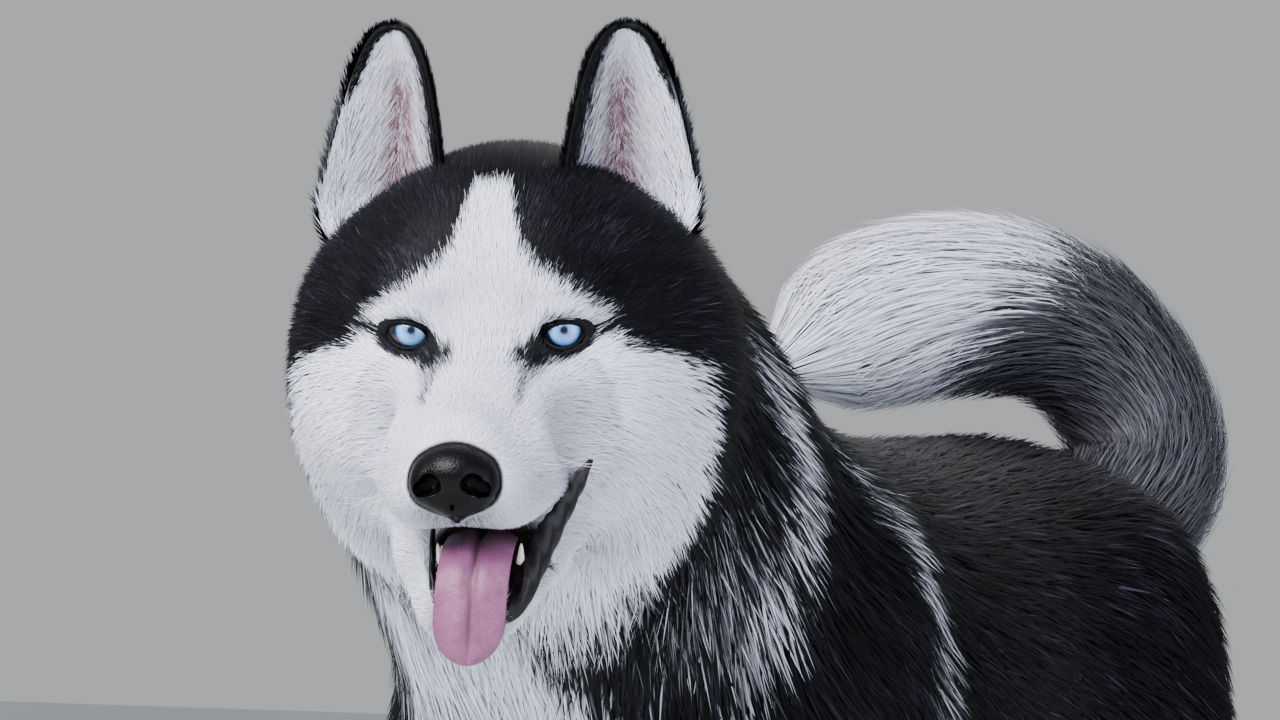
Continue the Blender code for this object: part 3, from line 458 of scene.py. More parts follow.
def coat_distance(points):
    """How far each point is outside the tips of the coat: the solids' form with the face's own hollows."""
    total = form_distance(points)
    local = both_sides(to_head(points))
    near = local[:, 0] > -0.04
    total[near] = carved(local[near], HOLLOWS, total[near])
    return total


def flesh_distance(points, depth):
    """The skin lies the coat's depth under its tips, is open at eyes and mouth, and runs down the tail."""
    total = coat_distance(points) + depth
    near = points[:, 1] > 0.28
    total[near] = melt(total[near], melted(points[near], TAIL_MASSES), 0.012)
    local = to_head(points)
    near = local[:, 0] > -0.03
    total[near] = carved(both_sides(local[near]), (EYE_PIT,), total[near])
    total[near] = carved(local[near] - [0, MOUTH_ASIDE, 0], (INNER_MOUTH,), total[near])
    return total


def mouth_distance(local):
    """How far each point of the head's frame is outside the mouth."""
    local = local - [0, MOUTH_ASIDE, 0]
    return np.minimum(*(distance(local, *sizes) for distance, sizes, _ in (MOUTH, INNER_MOUTH)))


def lid_share(local):
    """1 on the almond outline between the lids, less inside it, more outside, in the mirrored head frame."""
    outward = local[:, 1] - PUPIL_HALF - 0.001
    upward = local[:, 2]
    across = outward * math.cos(LID_TILT) + upward * math.sin(LID_TILT)
    lift = upward * math.cos(LID_TILT) - outward * math.sin(LID_TILT)
    height = np.where(lift > 0, LID_RISE, LID_DROP)
    share = np.sqrt((across / LID_HALF_WIDTH) ** 2 + (lift / height) ** 2)
    return np.where(local[:, 0] > -0.012, share, 9.0)


def nose_distance(points):
    return melted(both_sides(to_head(points)), NOSE_MASSES)


# Meshes


def husky_folder():
    folder = bpy.data.collections.get("husky")
    if folder is None:
        folder = bpy.data.collections.new("husky")
        bpy.context.scene.collection.children.link(folder)
    return folder


def new_object(name, mesh):
    obj = bpy.data.objects.new(name, mesh)
    husky_folder().objects.link(obj)
    obj.location = SHIFT
    return obj


def mesh_from(name, work):
    mesh = bpy.data.meshes.new(name)
    work.to_mesh(mesh)
    work.free()
    return mesh


def applied(obj):
    """Replaces obj's mesh with what its modifiers make of it."""
    bpy.context.view_layer.update()
    graph = bpy.context.evaluated_depsgraph_get()
    mesh = bpy.data.meshes.new_from_object(obj.evaluated_get(graph))
    obj.modifiers.clear()
    old, obj.data = obj.data, mesh
    bpy.data.meshes.remove(old)
    return obj


def read_threes(data, field, kind):
    values = np.empty(len(data) * 3, kind)
    data.foreach_get(field, values)
    return values.reshape(-1, 3)


def points_of(mesh):
    return read_threes(mesh.vertices, "co", np.float32).astype(float)


def normals_of(mesh):
    return read_threes(mesh.vertices, "normal", np.float32).astype(float)


def move_points(mesh, places):
    mesh.vertices.foreach_set("co", places.astype(np.float32).ravel())
    mesh.update()


def triangles_of(mesh):
    mesh.calc_loop_triangles()
    return read_threes(mesh.loop_triangles, "vertices", np.int32)


def set_attribute(mesh, name, values):
    layer = mesh.attributes.get(name) or mesh.attributes.new(name, "FLOAT", "POINT")
    layer.data.foreach_set("value", values.astype(np.float32))


def mesh_of_triangles(name, places, corners):
    mesh = bpy.data.meshes.new(name)
    mesh.vertices.add(len(places))
    mesh.vertices.foreach_set("co", places.astype(np.float32).ravel())
    mesh.loops.add(corners.size)
    mesh.loops.foreach_set("vertex_index", corners.astype(np.int32).ravel())
    mesh.polygons.add(len(corners))
    mesh.polygons.foreach_set("loop_start", np.arange(0, corners.size, 3, dtype=np.int32))
    mesh.update(calc_edges=True)
    mesh.shade_smooth()
    return mesh


def add_ball(work, centre, radii, turn):
    made = bmesh.ops.create_uvsphere(work, u_segments=16, v_segments=8, radius=1.0)
    place = Matrix.Translation(centre) @ Matrix.Diagonal((*radii, 1.0))
    bmesh.ops.transform(work, matrix=turn @ place, verts=made["verts"])
    return made["verts"]


def add_mass(work, distance, sizes, turn):
    """One mass as a closed mesh, to start the blended form from."""
    if distance is egg_distance:
        add_ball(work, *sizes, turn)
        return
    start, end, start_radius, end_radius, *flat = sizes
    flat = np.ones(3) * (flat[0] if flat else 1.0)
    ends = add_ball(work, start, flat * start_radius, turn)
    ends += add_ball(work, end, flat * end_radius, turn)
    hull = bmesh.ops.convex_hull(work, input=ends)
    inner = [v for v in hull["geom_interior"] if isinstance(v, bmesh.types.BMVert)]
    bmesh.ops.delete(work, geom=inner, context="VERTS")


def voxel_form(name, groups, voxel, smoothing):
    """A closed, even mesh round all the masses. Groups are (masses, frame), and the head's are mirrored."""
    work = bmesh.new()
    for masses, turn in groups:
        turns = (turn, turn @ Matrix.Diagonal((1, -1, 1, 1))) if turn is HEAD else (turn,)
        for distance, sizes, _ in masses:
            for one in turns:
                add_mass(work, distance, sizes, one)
    bmesh.ops.recalc_face_normals(work, faces=work.faces)
    return evened(new_object(name, mesh_from(name, work)), voxel, smoothing)


def evened(obj, voxel, smoothing):
    remesh = obj.modifiers.new("remesh", "REMESH")
    remesh.mode = "VOXEL"
    remesh.voxel_size = voxel
    smooth = obj.modifiers.new("smooth", "SMOOTH")
    smooth.iterations = smoothing
    return applied(obj)


def combine(obj, other, operation):
    """Joins other to obj or cuts it away. The other is used up."""
    step = obj.modifiers.new("combine", "BOOLEAN")
    step.operation = operation
    step.solver = "MANIFOLD"
    step.object = other
    applied(obj)
    bpy.data.objects.remove(other)


def refined(obj, wanted):
    """Splits every edge of the faces whose corners are all wanted."""
    work = bmesh.new()
    work.from_mesh(obj.data)
    chosen = wanted(points_of(obj.data))
    edges = [edge for edge in work.edges if chosen[edge.verts[0].index] and chosen[edge.verts[1].index]]
    bmesh.ops.subdivide_edges(work, edges=edges, cuts=1, use_grid_fill=True)
    work.to_mesh(obj.data)
    work.free()


def weave(work, rows, closed=True):
    """Faces between each row of corners and the next."""
    count = len(rows[0])
    for row, following in zip(rows, rows[1:]):
        for i in range(count if closed else count - 1):
            j = (i + 1) % count
            work.faces.new((row[i], row[j], following[j], following[i]))


def smooth_object(name, work):
    """A smoothly shaded object of work's faces, all turned outward."""
    bmesh.ops.recalc_face_normals(work, faces=work.faces)
    obj = new_object(name, mesh_from(name, work))
    obj.data.shade_smooth()
    return obj


# Markings, with painted shade on the face: how dark the coat is at each point of its outer surface, from 0,
# white, to 1, black

CAP_EDGE = MM * np.array([
    (0, 70), (4, 66.5), (7.5, 60), (12, 48), (15, 37), (22, 29), (33, 22.5), (43, 17), (53, 8),
    (58, -1), (61, -6), (71, -10), (85, -16), (93, -28), (99, -50),
])
COLLAR_UP = MM * np.array((-160, -153, -133, -113, -81, -42, 30, 60))
COLLAR_BACK = MM * np.array((-78, -70, -64, -56, -54, -43, -40, -36))
LINER_SHARE = 1.42
# Each streak is (start, end, radius, strength). The first three are black markings round the eye. The fourth
# is a dark line above the eye, partly marking and partly the brow's painted shadow. The last three are
# painted shade beside the nose bridge, under the eye and beside the muzzle.
FACE_STREAKS_AND_SHADES = (
    ((43, 3), (56, 2.5), 2.4, 1),
    ((16.5, -5), (25, -8.5), 4, 0.95),
    ((18.5, -8), (21.5, -16.5), 2.4, 0.62),
    ((27, 8.5), (40, 8), 2.4, 0.58),
    ((19, 4), (17, 18), 5, 0.14),
    ((24, -20), (33, -35), 8, 0.1),
    ((38, -28), (40, -60), 8, 0.17),
)


def soft_step(value, soft):
    return np.clip(0.5 + value / (2 * soft), 0.0, 1.0)


def streak(local, start, end, radius, strength):
    """A short dark line on the face between two places of the side and up plane, in mm."""
    away = cone_distance(local[:, 1:] / MM, start, end, radius, radius)
    return strength * soft_step(-away, 0.5 + radius * 0.4) * (local[:, 0] > -0.02)


def face_darkness(local):
    """The cap, the black rims of the eyes with their streaks, the smoky hair under the nose, and painted
    shade by the brows, under the eyes and beside the muzzle.
    """
    cap = soft_step(local[:, 2] - np.interp(local[:, 1], *CAP_EDGE.T), 0.003)
    behind = soft_step(np.interp(local[:, 2], COLLAR_UP, COLLAR_BACK) - local[:, 0], 0.004)
    liner = soft_step(LINER_SHARE - lid_share(local), 0.12)
    under_nose = soft_step(0.017 - local[:, 1], 0.007) * soft_step(-0.047 - local[:, 2], 0.006)
    smoke = 0.5 * under_nose * (local[:, 0] > 0.066)
    streaks_and_shades = [streak(local, *mark) for mark in FACE_STREAKS_AND_SHADES]
    return np.max([cap, behind, liner, smoke, *streaks_and_shades], axis=0)


def darkness(points):
    """The markings of the whole dog but the ears and the tail, with the face's painted shade."""
    across, along, height = points.T
    bib_heights, bib_halves = (0.3, 0.4, 0.46, 0.5, 0.53, 0.56), (0.075, 0.068, 0.046, 0.04, 0.04, -0.02)
    bib = np.interp(height, bib_heights, bib_halves) - np.abs(across + 0.017)
    bib = soft_step(bib, 0.008) * soft_step(-0.06 - along, 0.02)
    belly_edges = (0.36, 0.37, 0.345, 0.37, 0.345, 0.36, 0.4)
    belly = np.interp(along, (-0.1, 0, 0.1, 0.25, 0.33, 0.42, 0.5), belly_edges)
    under = soft_step(belly - height, 0.014)
    dark = face_darkness(both_sides(to_head(points))) * (1 - bib) * (1 - under)
    stripe_at = np.interp(height, (0.47, 0.52, 0.56, 0.6), (-0.112, -0.1, -0.1, -0.122))
    stripe = np.exp(-(((along - stripe_at) / 0.0115) ** 2))
    stripe *= soft_step(height - 0.46, 0.02) * soft_step(0.615 - height, 0.015)
    flank_at = np.interp(height, (0.42, 0.48, 0.52, 0.56), (0.062, 0.06, 0.028, -0.008))
    flank = np.exp(-(((along - flank_at) / 0.015) ** 2)) * soft_step(0.565 - height, 0.015)
    flecks = np.exp(-(((along + 0.15) / 0.03) ** 2) - ((height - 0.5) / 0.035) ** 2)
    outer = soft_step(np.abs(across) - 0.055, 0.02)
    for light, strength in ((stripe, 0.7), (flank, 0.42), (flecks, 0.3)):
        dark = dark * (1 - strength * light * outer)
    return dark


# Materials


def linear(colour):
    """sRGB hex to linear colour with alpha."""
    parts = [int(colour[i:i + 2], 16) / 255 for i in (1, 3, 5)]
    return (*((p / 12.92 if p <= 0.04045 else ((p + 0.055) / 1.055) ** 2.4) for p in parts), 1.0)


def add(tree, kind, inputs=None, **settings):
    """Adds a node with its settings, and its inputs as values or as links from other sockets."""
    made = tree.nodes.new(kind)
    for name, value in settings.items():
        setattr(made, name, value)
    for name, value in (inputs or {}).items():
        if isinstance(value, bpy.types.NodeSocket):
            tree.links.new(value, made.inputs[name])
        else:
            made.inputs[name].default_value = value
    return made


def shade_ramp(tree, factor, stops):
    ramp = add(tree, "ShaderNodeValToRGB", {"Fac": factor})
    points = ramp.color_ramp.elements
    while len(points) < len(stops):
        points.new(0.5)
    for point, (place, colour) in zip(points, stops):
        point.position = place
        point.color = linear(colour)
    return ramp.outputs["Color"]


def new_material(name, **sockets):
    material = bpy.data.materials.new(name)
    material.use_nodes = True
    shader = material.node_tree.nodes["Principled BSDF"]
    for label, value in sockets.items():
        shader.inputs[label.replace("_", " ")].default_value = value
    return material, material.node_tree


def attribute(tree, name):
    return add(tree, "ShaderNodeAttribute", attribute_name=name).outputs["Fac"]


def object_place(tree):
    return add(tree, "ShaderNodeTexCoord").outputs["Object"]


def noise(tree, scale, detail, place=None):
    """Soft noise with scale waves to the metre."""
    inputs = {"Vector": place or object_place(tree), "Scale": scale, "Detail": detail}
    return add(tree, "ShaderNodeTexNoise", inputs).outputs["Fac"]


def grains(tree, size):
    """Rounded cells, as the distance from each one's middle."""
    inputs = {"Vector": object_place(tree), "Scale": 1 / size}
    return add(tree, "ShaderNodeTexVoronoi", inputs).outputs["Distance"]


def maths(tree, operation, *values):
    return add(tree, "ShaderNodeMath", dict(enumerate(values)), operation=operation).outputs[0]


def surface(tree, colour, height=None, strength=0.5, depth=0.0006, invert=False):
    """Gives the shader its colour and, where there is a height, its bump."""
    shader = tree.nodes["Principled BSDF"]
    tree.links.new(colour, shader.inputs["Base Color"])
    if height:
        inputs = {"Height": height, "Strength": strength, "Distance": depth}
        bump = add(tree, "ShaderNodeBump", inputs, invert=invert)
        tree.links.new(bump.outputs["Normal"], shader.inputs["Normal"])


def mix(tree, factor, first, second, blend="MIX"):
    inputs = {0: factor, 6: first, 7: second}
    return add(tree, "ShaderNodeMix", inputs, data_type="RGBA", blend_type=blend).outputs[2]


def coat_material():
    """Dog's guard hair: white and near-black keratin, satin. The lighter lilac-brown strands on the black are
    partly the hair's own tone and partly painted sheen, and each blade darkens towards its root as painted
    shade.
    """
    material, tree = new_material("guard hair", Roughness=0.6, Specular_IOR_Level=0.11)
    tint = attribute(tree, "tint")
    white = shade_ramp(tree, tint, [(0, "#cdd1e3"), (0.5, "#ebeefb"), (1, "#fcfdff")])
    white = mix(tree, attribute(tree, "blush"), white, linear("#745a63"))
    # Lighter lilac-brown strands among the black: partly the hair's own tone, partly painted sheen.
    black = shade_ramp(tree, tint, [(0, "#020203"), (0.5, "#06060a"), (0.8, "#1a1822"), (1, "#3b3846")])
    colour = mix(tree, attribute(tree, "dark"), white, black)
    # Painted shade: each blade is darker towards its root, where it lies deep among the others.
    root = mix(tree, 1.0, colour, linear("#bcbcc6"), "MULTIPLY")
    surface(tree, mix(tree, attribute(tree, "along"), root, colour))
    return material


def skin_material():
    """Short under-fur over skin, in the coat's own markings, with a fine nap as bump. Its white is the
    under-fur's pale colour darkened as painted shade in the gaps between the blades.
    """
    material, tree = new_material("under fur", Roughness=0.8, Specular_IOR_Level=0.15)
    nap = noise(tree, 900, 3)
    # Painted shade: the white under-fur is greyer than the guard hair, for the gaps between the blades.
    white = shade_ramp(tree, nap, [(0.3, "#b4b5be"), (0.7, "#d8d9e2")])
    white = mix(tree, attribute(tree, "blush"), white, linear("#5c434b"))
    black = shade_ramp(tree, nap, [(0.3, "#040405"), (0.7, "#0c0c0f")])
    gum = shade_ramp(tree, nap, [(0.35, "#0d0809"), (0.7, "#33191d")])
    colour = mix(tree, attribute(tree, "dark"), white, black)
    surface(tree, mix(tree, attribute(tree, "wet"), colour, gum), nap)
    return material


def nose_material():
    """Moist nose leather: near black, in pebbles about a millimetre across."""
    material, tree = new_material("nose leather", Roughness=0.36, Specular_IOR_Level=0.12)
    colour = shade_ramp(tree, noise(tree, 120, 2), [(0.3, "#010102"), (0.7, "#040406")])
    surface(tree, colour, grains(tree, 1.1 * MM), 0.35, 0.0004, True)
    return material


def lip_material():
    """Wet black lip skin, mottled with a little grey-pink."""
    material, tree = new_material("lip skin", Roughness=0.4, Specular_IOR_Level=0.25)
    blotch = noise(tree, 260, 4)
    surface(tree, shade_ramp(tree, blotch, [(0.35, "#050406"), (0.6, "#100c11"), (0.75, "#2f2229")]), blotch)
    return material


def tongue_material():
    """Moist tongue: rose pink, with papillae as a fine grain, and painted shade where it comes out from under
    the lip and along its middle groove, which leaves it lighter to the edges.
    """
    material, tree = new_material(
        "tongue", Roughness=0.42, Specular_IOR_Level=0.35, Subsurface_Weight=0.2, Subsurface_Scale=0.004
    )
    grain = grains(tree, 0.9 * MM)
    colour = shade_ramp(tree, noise(tree, 90, 3), [(0.3, "#552446"), (0.55, "#703a61"), (0.75, "#87537a")])
    colour = mix(tree, 0.15, colour, shade_ramp(tree, grain, [(0, "#6a3050"), (0.6, "#c08aa6")]))
    # Painted shade: darker where the tongue comes out from under the lip and along its middle groove.
    surface(tree, mix(tree, attribute(tree, "tongue_shade"), colour, linear("#2c1316")), grain, 0.25, 0.0004)
    return material


def eye_material():
    """Pale blue iris under a wet cornea. The eyeball's own Z axis looks out of the pupil."""
    material, tree = new_material("blue eye", Roughness=0.25, Coat_Weight=1.0, Coat_Roughness=0.02, IOR=1.38)
    x, y, _ = add(tree, "ShaderNodeSeparateXYZ", {"Vector": object_place(tree)}).outputs
    flat = add(tree, "ShaderNodeCombineXYZ", {"X": x, "Y": y}).outputs[0]
    reach = add(tree, "ShaderNodeVectorMath", {0: flat}, operation="LENGTH").outputs["Value"]
    ray = add(tree, "ShaderNodeCombineXYZ", {"X": maths(tree, "ARCTAN2", y, x), "Y": reach}).outputs[0]
    fibres = noise(tree, 14, 4, ray)
    wave = maths(tree, "MULTIPLY_ADD", fibres, 0.06, -0.03)
    share = maths(tree, "ADD", maths(tree, "MULTIPLY", reach, 1 / EYE_RADIUS), wave)
    iris = shade_ramp(tree, share, [
        (0, "#030409"), (0.125, "#030409"), (0.155, "#2a5796"), (0.24, "#5692d4"),
        (0.42, "#84b8ec"), (0.53, "#6096d4"), (0.585, "#22406b"), (0.63, "#0b0e16"), (0.7, "#151013"),
    ])
    veins = shade_ramp(tree, fibres, [(0.3, "#b9cfe8"), (0.7, "#ffffff")])
    surface(tree, mix(tree, 0.8, iris, veins, "MULTIPLY"))
    return material


def plain_material(name, dark, light, scale, **sockets):
    """Horn, tooth or whisker: two near colours in a fine grain."""
    material, tree = new_material(name, **sockets)
    surface(tree, shade_ramp(tree, noise(tree, scale, 3), [(0.3, dark), (0.7, light)]))
    return material


GUARD_HAIR = coat_material()
UNDER_FUR = skin_material()
NOSE_LEATHER = nose_material()
LIP_SKIN = lip_material()
TONGUE = tongue_material()
BLUE_EYE = eye_material()
HORN = plain_material("claw horn", "#1a1718", "#4a4346", 300, Roughness=0.35)
ENAMEL = plain_material("tooth enamel", "#e6dfcf", "#f6f3ea", 200, Roughness=0.2, Coat_Weight=0.5)
EYE_RIM = plain_material(
    "eyelid skin", "#010102", "#070608", 400, Roughness=0.6, Specular_IOR_Level=0.12
)
WHISKER = plain_material("whisker", "#d9d9dc", "#f7f7f9", 500, Roughness=0.35)


def finish(obj, material):
    obj.data.materials.clear()
    obj.data.materials.append(material)
    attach(obj, "root")
    return obj


# The skin

FLESH = ["head", "jaw", "neck", "chest", "loin", "tail_base", "tail_middle", "tail_tip"]
for part in ("ear_", "foreleg_", "forepaw_", "thigh_", "shank_", "hindpaw_"):
    FLESH += [part + "left", part + "right"]


def settle_skin(mesh, rounds):
    places = points_of(mesh)
    depth = coat_sizes(places)[:, 1]
    places = settle(places, lambda points: flesh_distance(points, depth), rounds)
    places[:, 2] = np.maximum(places[:, 2], 0.0012)
    move_points(mesh, places)


def make_skin():
    """Meshed coarsely, settled, meshed again, and split finer on the head and then on the face."""
    groups = [(BODY_MASSES, Matrix()), (TAIL_MASSES, Matrix()), (HEAD_MASSES, HEAD)]
    groups += [(masses, Matrix()) for _, masses in LEGS]
    skin = voxel_form("skin", groups, 0.006, 6)
    settle_skin(skin.data, 3)
    evened(skin, 0.0038, 2)
    for behind in (-0.09, -0.012):
        refined(skin, lambda places: to_head(places)[:, 0] > behind)
    settle_skin(skin.data, 2)
    skin.data.shade_smooth()
    return skin


def with_ears(skin):
    """Joins both ears to the skin and gives all of it the coat's markings."""
    for side in (1, -1):
        combine(skin, make_ear(side), "UNION")
    places = points_of(skin.data)
    dark = np.maximum(darkness(places), soft_step(0.0012 - nose_distance(places), 0.0006))
    tail = (places[:, 1] > 0.28) & (places[:, 2] > 0.45) & (form_distance(places) > 0.0005)
    dark[tail] = tail_darkness(places[tail])
    blush = np.zeros(len(places))
    local = to_head(places)
    above = np.flatnonzero((local[:, 2] > 0.02) & (np.abs(local[:, 1]) > 0.02) & (local[:, 0] > -0.13))
    grid = np.meshgrid(np.linspace(EAR_FOOT, 1, 72), np.linspace(-1, 1, 49))
    height, across = (axis.ravel() for axis in grid)
    for side in (1, -1):
        mine = above[local[above, 1] * side > 0]
        leaf = ear_place(side, height, across)
        found, reach = nearest(places[mine], leaf)
        bare_ear = flesh_distance(places[mine], coat_sizes(places[mine])[:, 1]) > 0.001
        on_ear = (reach < 0.004) & bare_ear
        mine, found = mine[on_ear], found[on_ear]
        facing = ear_axes(side, height[found], across[found])[2]
        inner = ((places[mine] - leaf[found]) * facing).sum(1) > 0
        dark[mine], blush[mine] = ear_tones(height[found], across[found], inner)
    set_attribute(skin.data, "dark", dark)
    set_attribute(skin.data, "blush", blush)
    set_attribute(skin.data, "wet", soft_step(0.0015 - mouth_distance(local), 0.0015))
    skin.data.shade_smooth()


def tail_darkness(points):
    places, _ = smooth_line(TAIL_LINE, 60)
    found, _ = nearest(points, places)
    return tail_tone(found / 59, points - places[found])


def tail_tone(station, offset):
    """The brush is dark to past its middle, further on its inner side, then white, with a paler streak."""
    outer = soft_step(offset[:, 1] - 0.012, 0.012) * soft_step(0.45 - station, 0.05)
    inner = soft_step(0.006 - offset[:, 2], 0.034)
    return soft_step(0.6 + 0.17 * inner - station, 0.02) * (1 - 0.62 * outer)


# The coat


def nearest(points, seeds):
    """The number of the seed nearest to each point, and how far it is."""
    tree = KDTree(len(seeds))
    for number, seed in enumerate(seeds):
        tree.insert(seed, number)
    tree.balance()
    found = [tree.find(point) for point in points]
    return np.array([number for _, number, _ in found]), np.array([reach for _, _, reach in found])


def scatter(places, corners, weights, count, draw):
    """Roots spread over triangles by area and weight: the triangle of each and its corner shares."""
    first, second, third = (places[corners[:, i]] for i in range(3))
    area = np.linalg.norm(np.cross(second - first, third - first), axis=1) / 2 * weights
    total = np.cumsum(area)
    spots = (np.arange(count) + draw.uniform(0, 1, count)) / count * total[-1]
    chosen = np.minimum(np.searchsorted(total, spots), len(corners) - 1)
    u, v = draw.uniform(0, 1, (2, count))
    over = u + v > 1
    u[over], v[over] = 1 - u[over], 1 - v[over]
    return chosen, np.stack([1 - u - v, u, v], axis=1)


def blended(values, corners, shares):
    return sum(values[corners[:, i]] * shares[:, i:i + 1] for i in range(3))


def ripple(points, wave, draw):
    """A soft random swell over space, from -1 to 1, a few waves wide."""
    runs = unit(draw.normal(0, 1, (6, 3))) * (2 * math.pi / wave) * draw.uniform(0.6, 1.6, (6, 1))
    return np.sin(points @ runs.T + draw.uniform(0, 6.3, 6)).mean(axis=1) * 1.6


def blade_pattern(rings):
    """Faces of one closed blade: a flat root and a tip, or a root point, rings of three, and a tip."""
    tip = 3 if rings == 0 else rings * 3 + 1
    edges = ((2, 0), (1, 2), (0, 1))
    if rings == 0:
        return tip + 1, [(0, 2, 1)] + [(i, j, tip) for i, j in edges]
    faces = [(1 + j, 1 + i, 0) for i, j in edges]
    for ring in range(rings - 1):
        base = 1 + ring * 3
        for i, j in edges:
            faces += [(base + i, base + j, base + j + 3), (base + i, base + j + 3, base + i + 3)]
    base = 1 + (rings - 1) * 3
    return tip + 1, faces + [(base + i, base + j, tip) for i, j in edges]


def lay_coat(name, spots, lie, ups, half, shades, unwrap):
    """Blades as one object. Spots are each blade's places from root to tip, and ups point off the skin."""
    rings = len(spots) - 2
    size, pattern = blade_pattern(rings)
    sides = unit(np.cross(lie, ups))
    around = [sides, -sides, ups * 0.6]
    wide = half[:, None]
    if rings == 0:
        rows = [spots[0] + way * wide for way in around] + [spots[1]]
        ways = around + [ups]
        along = [0.0, 0.0, 0.0, 1.0]
        flat = [(-1, -1), (1, -1), (0, -0.5), (0, 1)]
    else:
        rows, ways, along, flat = [spots[0]], [ups], [0.0], [(0, -1)]
        for number, middle in enumerate(spots[1:-1]):
            narrow = 1.0 if number == 0 else 0.8
            share = (number + 1) / (rings + 1)
            rows += [middle + way * wide * narrow for way in around]
            ways += around
            along += [share] * 3
            flat += [(-1, share * 2 - 1), (1, share * 2 - 1), (0, share * 2 - 0.8)]
        rows.append(spots[-1])
        ways.append(ups)
        along.append(1.0)
        flat.append((0, 1))
    places = np.stack(rows, axis=1).reshape(-1, 3)
    places[:, 2] = np.maximum(places[:, 2], 0.001)
    count = len(half)
    corners = (np.arange(count)[:, None, None] * size + np.array(pattern)[None]).reshape(-1, 3)
    mesh = mesh_of_triangles(name, places, corners)
    for label, values in shades.items():
        set_attribute(mesh, label, np.repeat(values, size))
    set_attribute(mesh, "along", np.tile(along, count))
    patch = 0.0015
    layer = mesh.uv_layers.new(name="OFBake")
    spread = (unwrap[:, None] + np.array(flat)[None] * patch).reshape(-1, 2)
    layer.data.foreach_set("uv", spread[corners.ravel()].astype(np.float32).ravel())
    soft = np.stack([unit(ups + way * 0.45) for way in ways], axis=1).reshape(-1, 3)
    mesh.normals_split_custom_set_from_vertices(soft)
    return finish(new_object(name, mesh), GUARD_HAIR)


def squared(first, second):
    """Two coordinates fitted to the map's unit square."""
    flat = np.stack([first, second], axis=1)
    least, most = flat.min(axis=0), flat.max(axis=0)
    return 0.01 + 0.98 * (flat - least) / (most - least)


def unwrap_head(points):
    """Round the skull's middle: the turn to the side, and the height angle."""
    local = to_head(points) + [0.05, 0, 0.02]
    flat = np.hypot(local[:, 0], local[:, 1])
    return squared(np.arctan2(local[:, 1], local[:, 0]), np.arctan2(local[:, 2], flat))


def unwrap_trunk(points):
    """Round the spine, and along it."""
    return squared(np.arctan2(points[:, 0], points[:, 2] - 0.44), points[:, 1])


def unwrap_legs(points):
    """Round each leg, and down it. The two sides lie beside each other."""
    side = np.sign(points[:, 0])
    hind = np.interp(points[:, 2], (0.0, 0.17, 0.33), (0.46, 0.49, 0.35))
    middle = np.where(points[:, 1] > 0.2, hind, 0.0)
    turn = np.arctan2(points[:, 0] - side * 0.072, points[:, 1] - middle) / (2 * math.pi)
    return squared(turn + side * 0.55, points[:, 2])


def region_of(points):
    """Which piece of coat grows at each point."""
    local = to_head(points)
    on_head = (local[:, 0] > -0.088) & (local[:, 2] > -0.135)
    choices = [
        on_head & (local[:, 0] > 0.004),
        on_head & (local[:, 2] > -0.004),
        on_head,
        (points[:, 2] < 0.3) & (points[:, 1] < 0.12),
        (points[:, 2] < 0.3) & (points[:, 1] > 0.22),
        (points[:, 1] < -0.015) & (points[:, 2] > 0.47),
        points[:, 1] < 0.06,
        points[:, 1] < 0.3,
    ]
    return np.select(choices, range(len(choices)), len(choices))


# Each piece of coat: (blades, rings in a blade, half width in mm of a 10 mm blade, clumping, unwrap)
PIECES = {
    "muzzle": (40000, 0, 0.3, 0.0, unwrap_head),
    "brow": (44000, 0, 0.34, 0.0, unwrap_head),
    "cheeks": (32000, 1, 0.34, 0.35, unwrap_head),
    "forelegs": (11000, 0, 0.5, 0.0, unwrap_legs),
    "hind_legs": (11000, 0, 0.5, 0.0, unwrap_legs),
    "neck": (32000, 1, 0.38, 0.35, unwrap_trunk),
    "chest": (22000, 1, 0.44, 0.35, unwrap_trunk),
    "trunk": (28000, 1, 0.42, 0.3, unwrap_trunk),
    "rump": (24000, 1, 0.42, 0.3, unwrap_trunk),
}
CLUMP = 9
TAIL_BLADES = 11000
TAIL_BLADE_HALF_WIDTH = 0.58 * MM


def coat_shades(spots, dark, draw):
    """How dark each blade is, and its own tint, which neighbours partly share."""
    count = len(spots)
    mixed = 4 * dark * (1 - dark)
    # Faint marks, the face's painted shade among them, keep half their darkness and are not lost in the
    # contrast.
    shaded = 0.5 * dark
    dark = np.clip((dark + draw.normal(0, 1, count) * (0.08 + 0.13 * mixed) - 0.5) * 1.7 + 0.5, 0, 1)
    dark = np.maximum(dark, shaded)
    tint = draw.beta(2.0, 2.6, count) + 0.16 * ripple(spots, 0.035, draw)
    return {"dark": dark, "tint": np.clip(tint, 0, 1), "blush": np.zeros(count)}


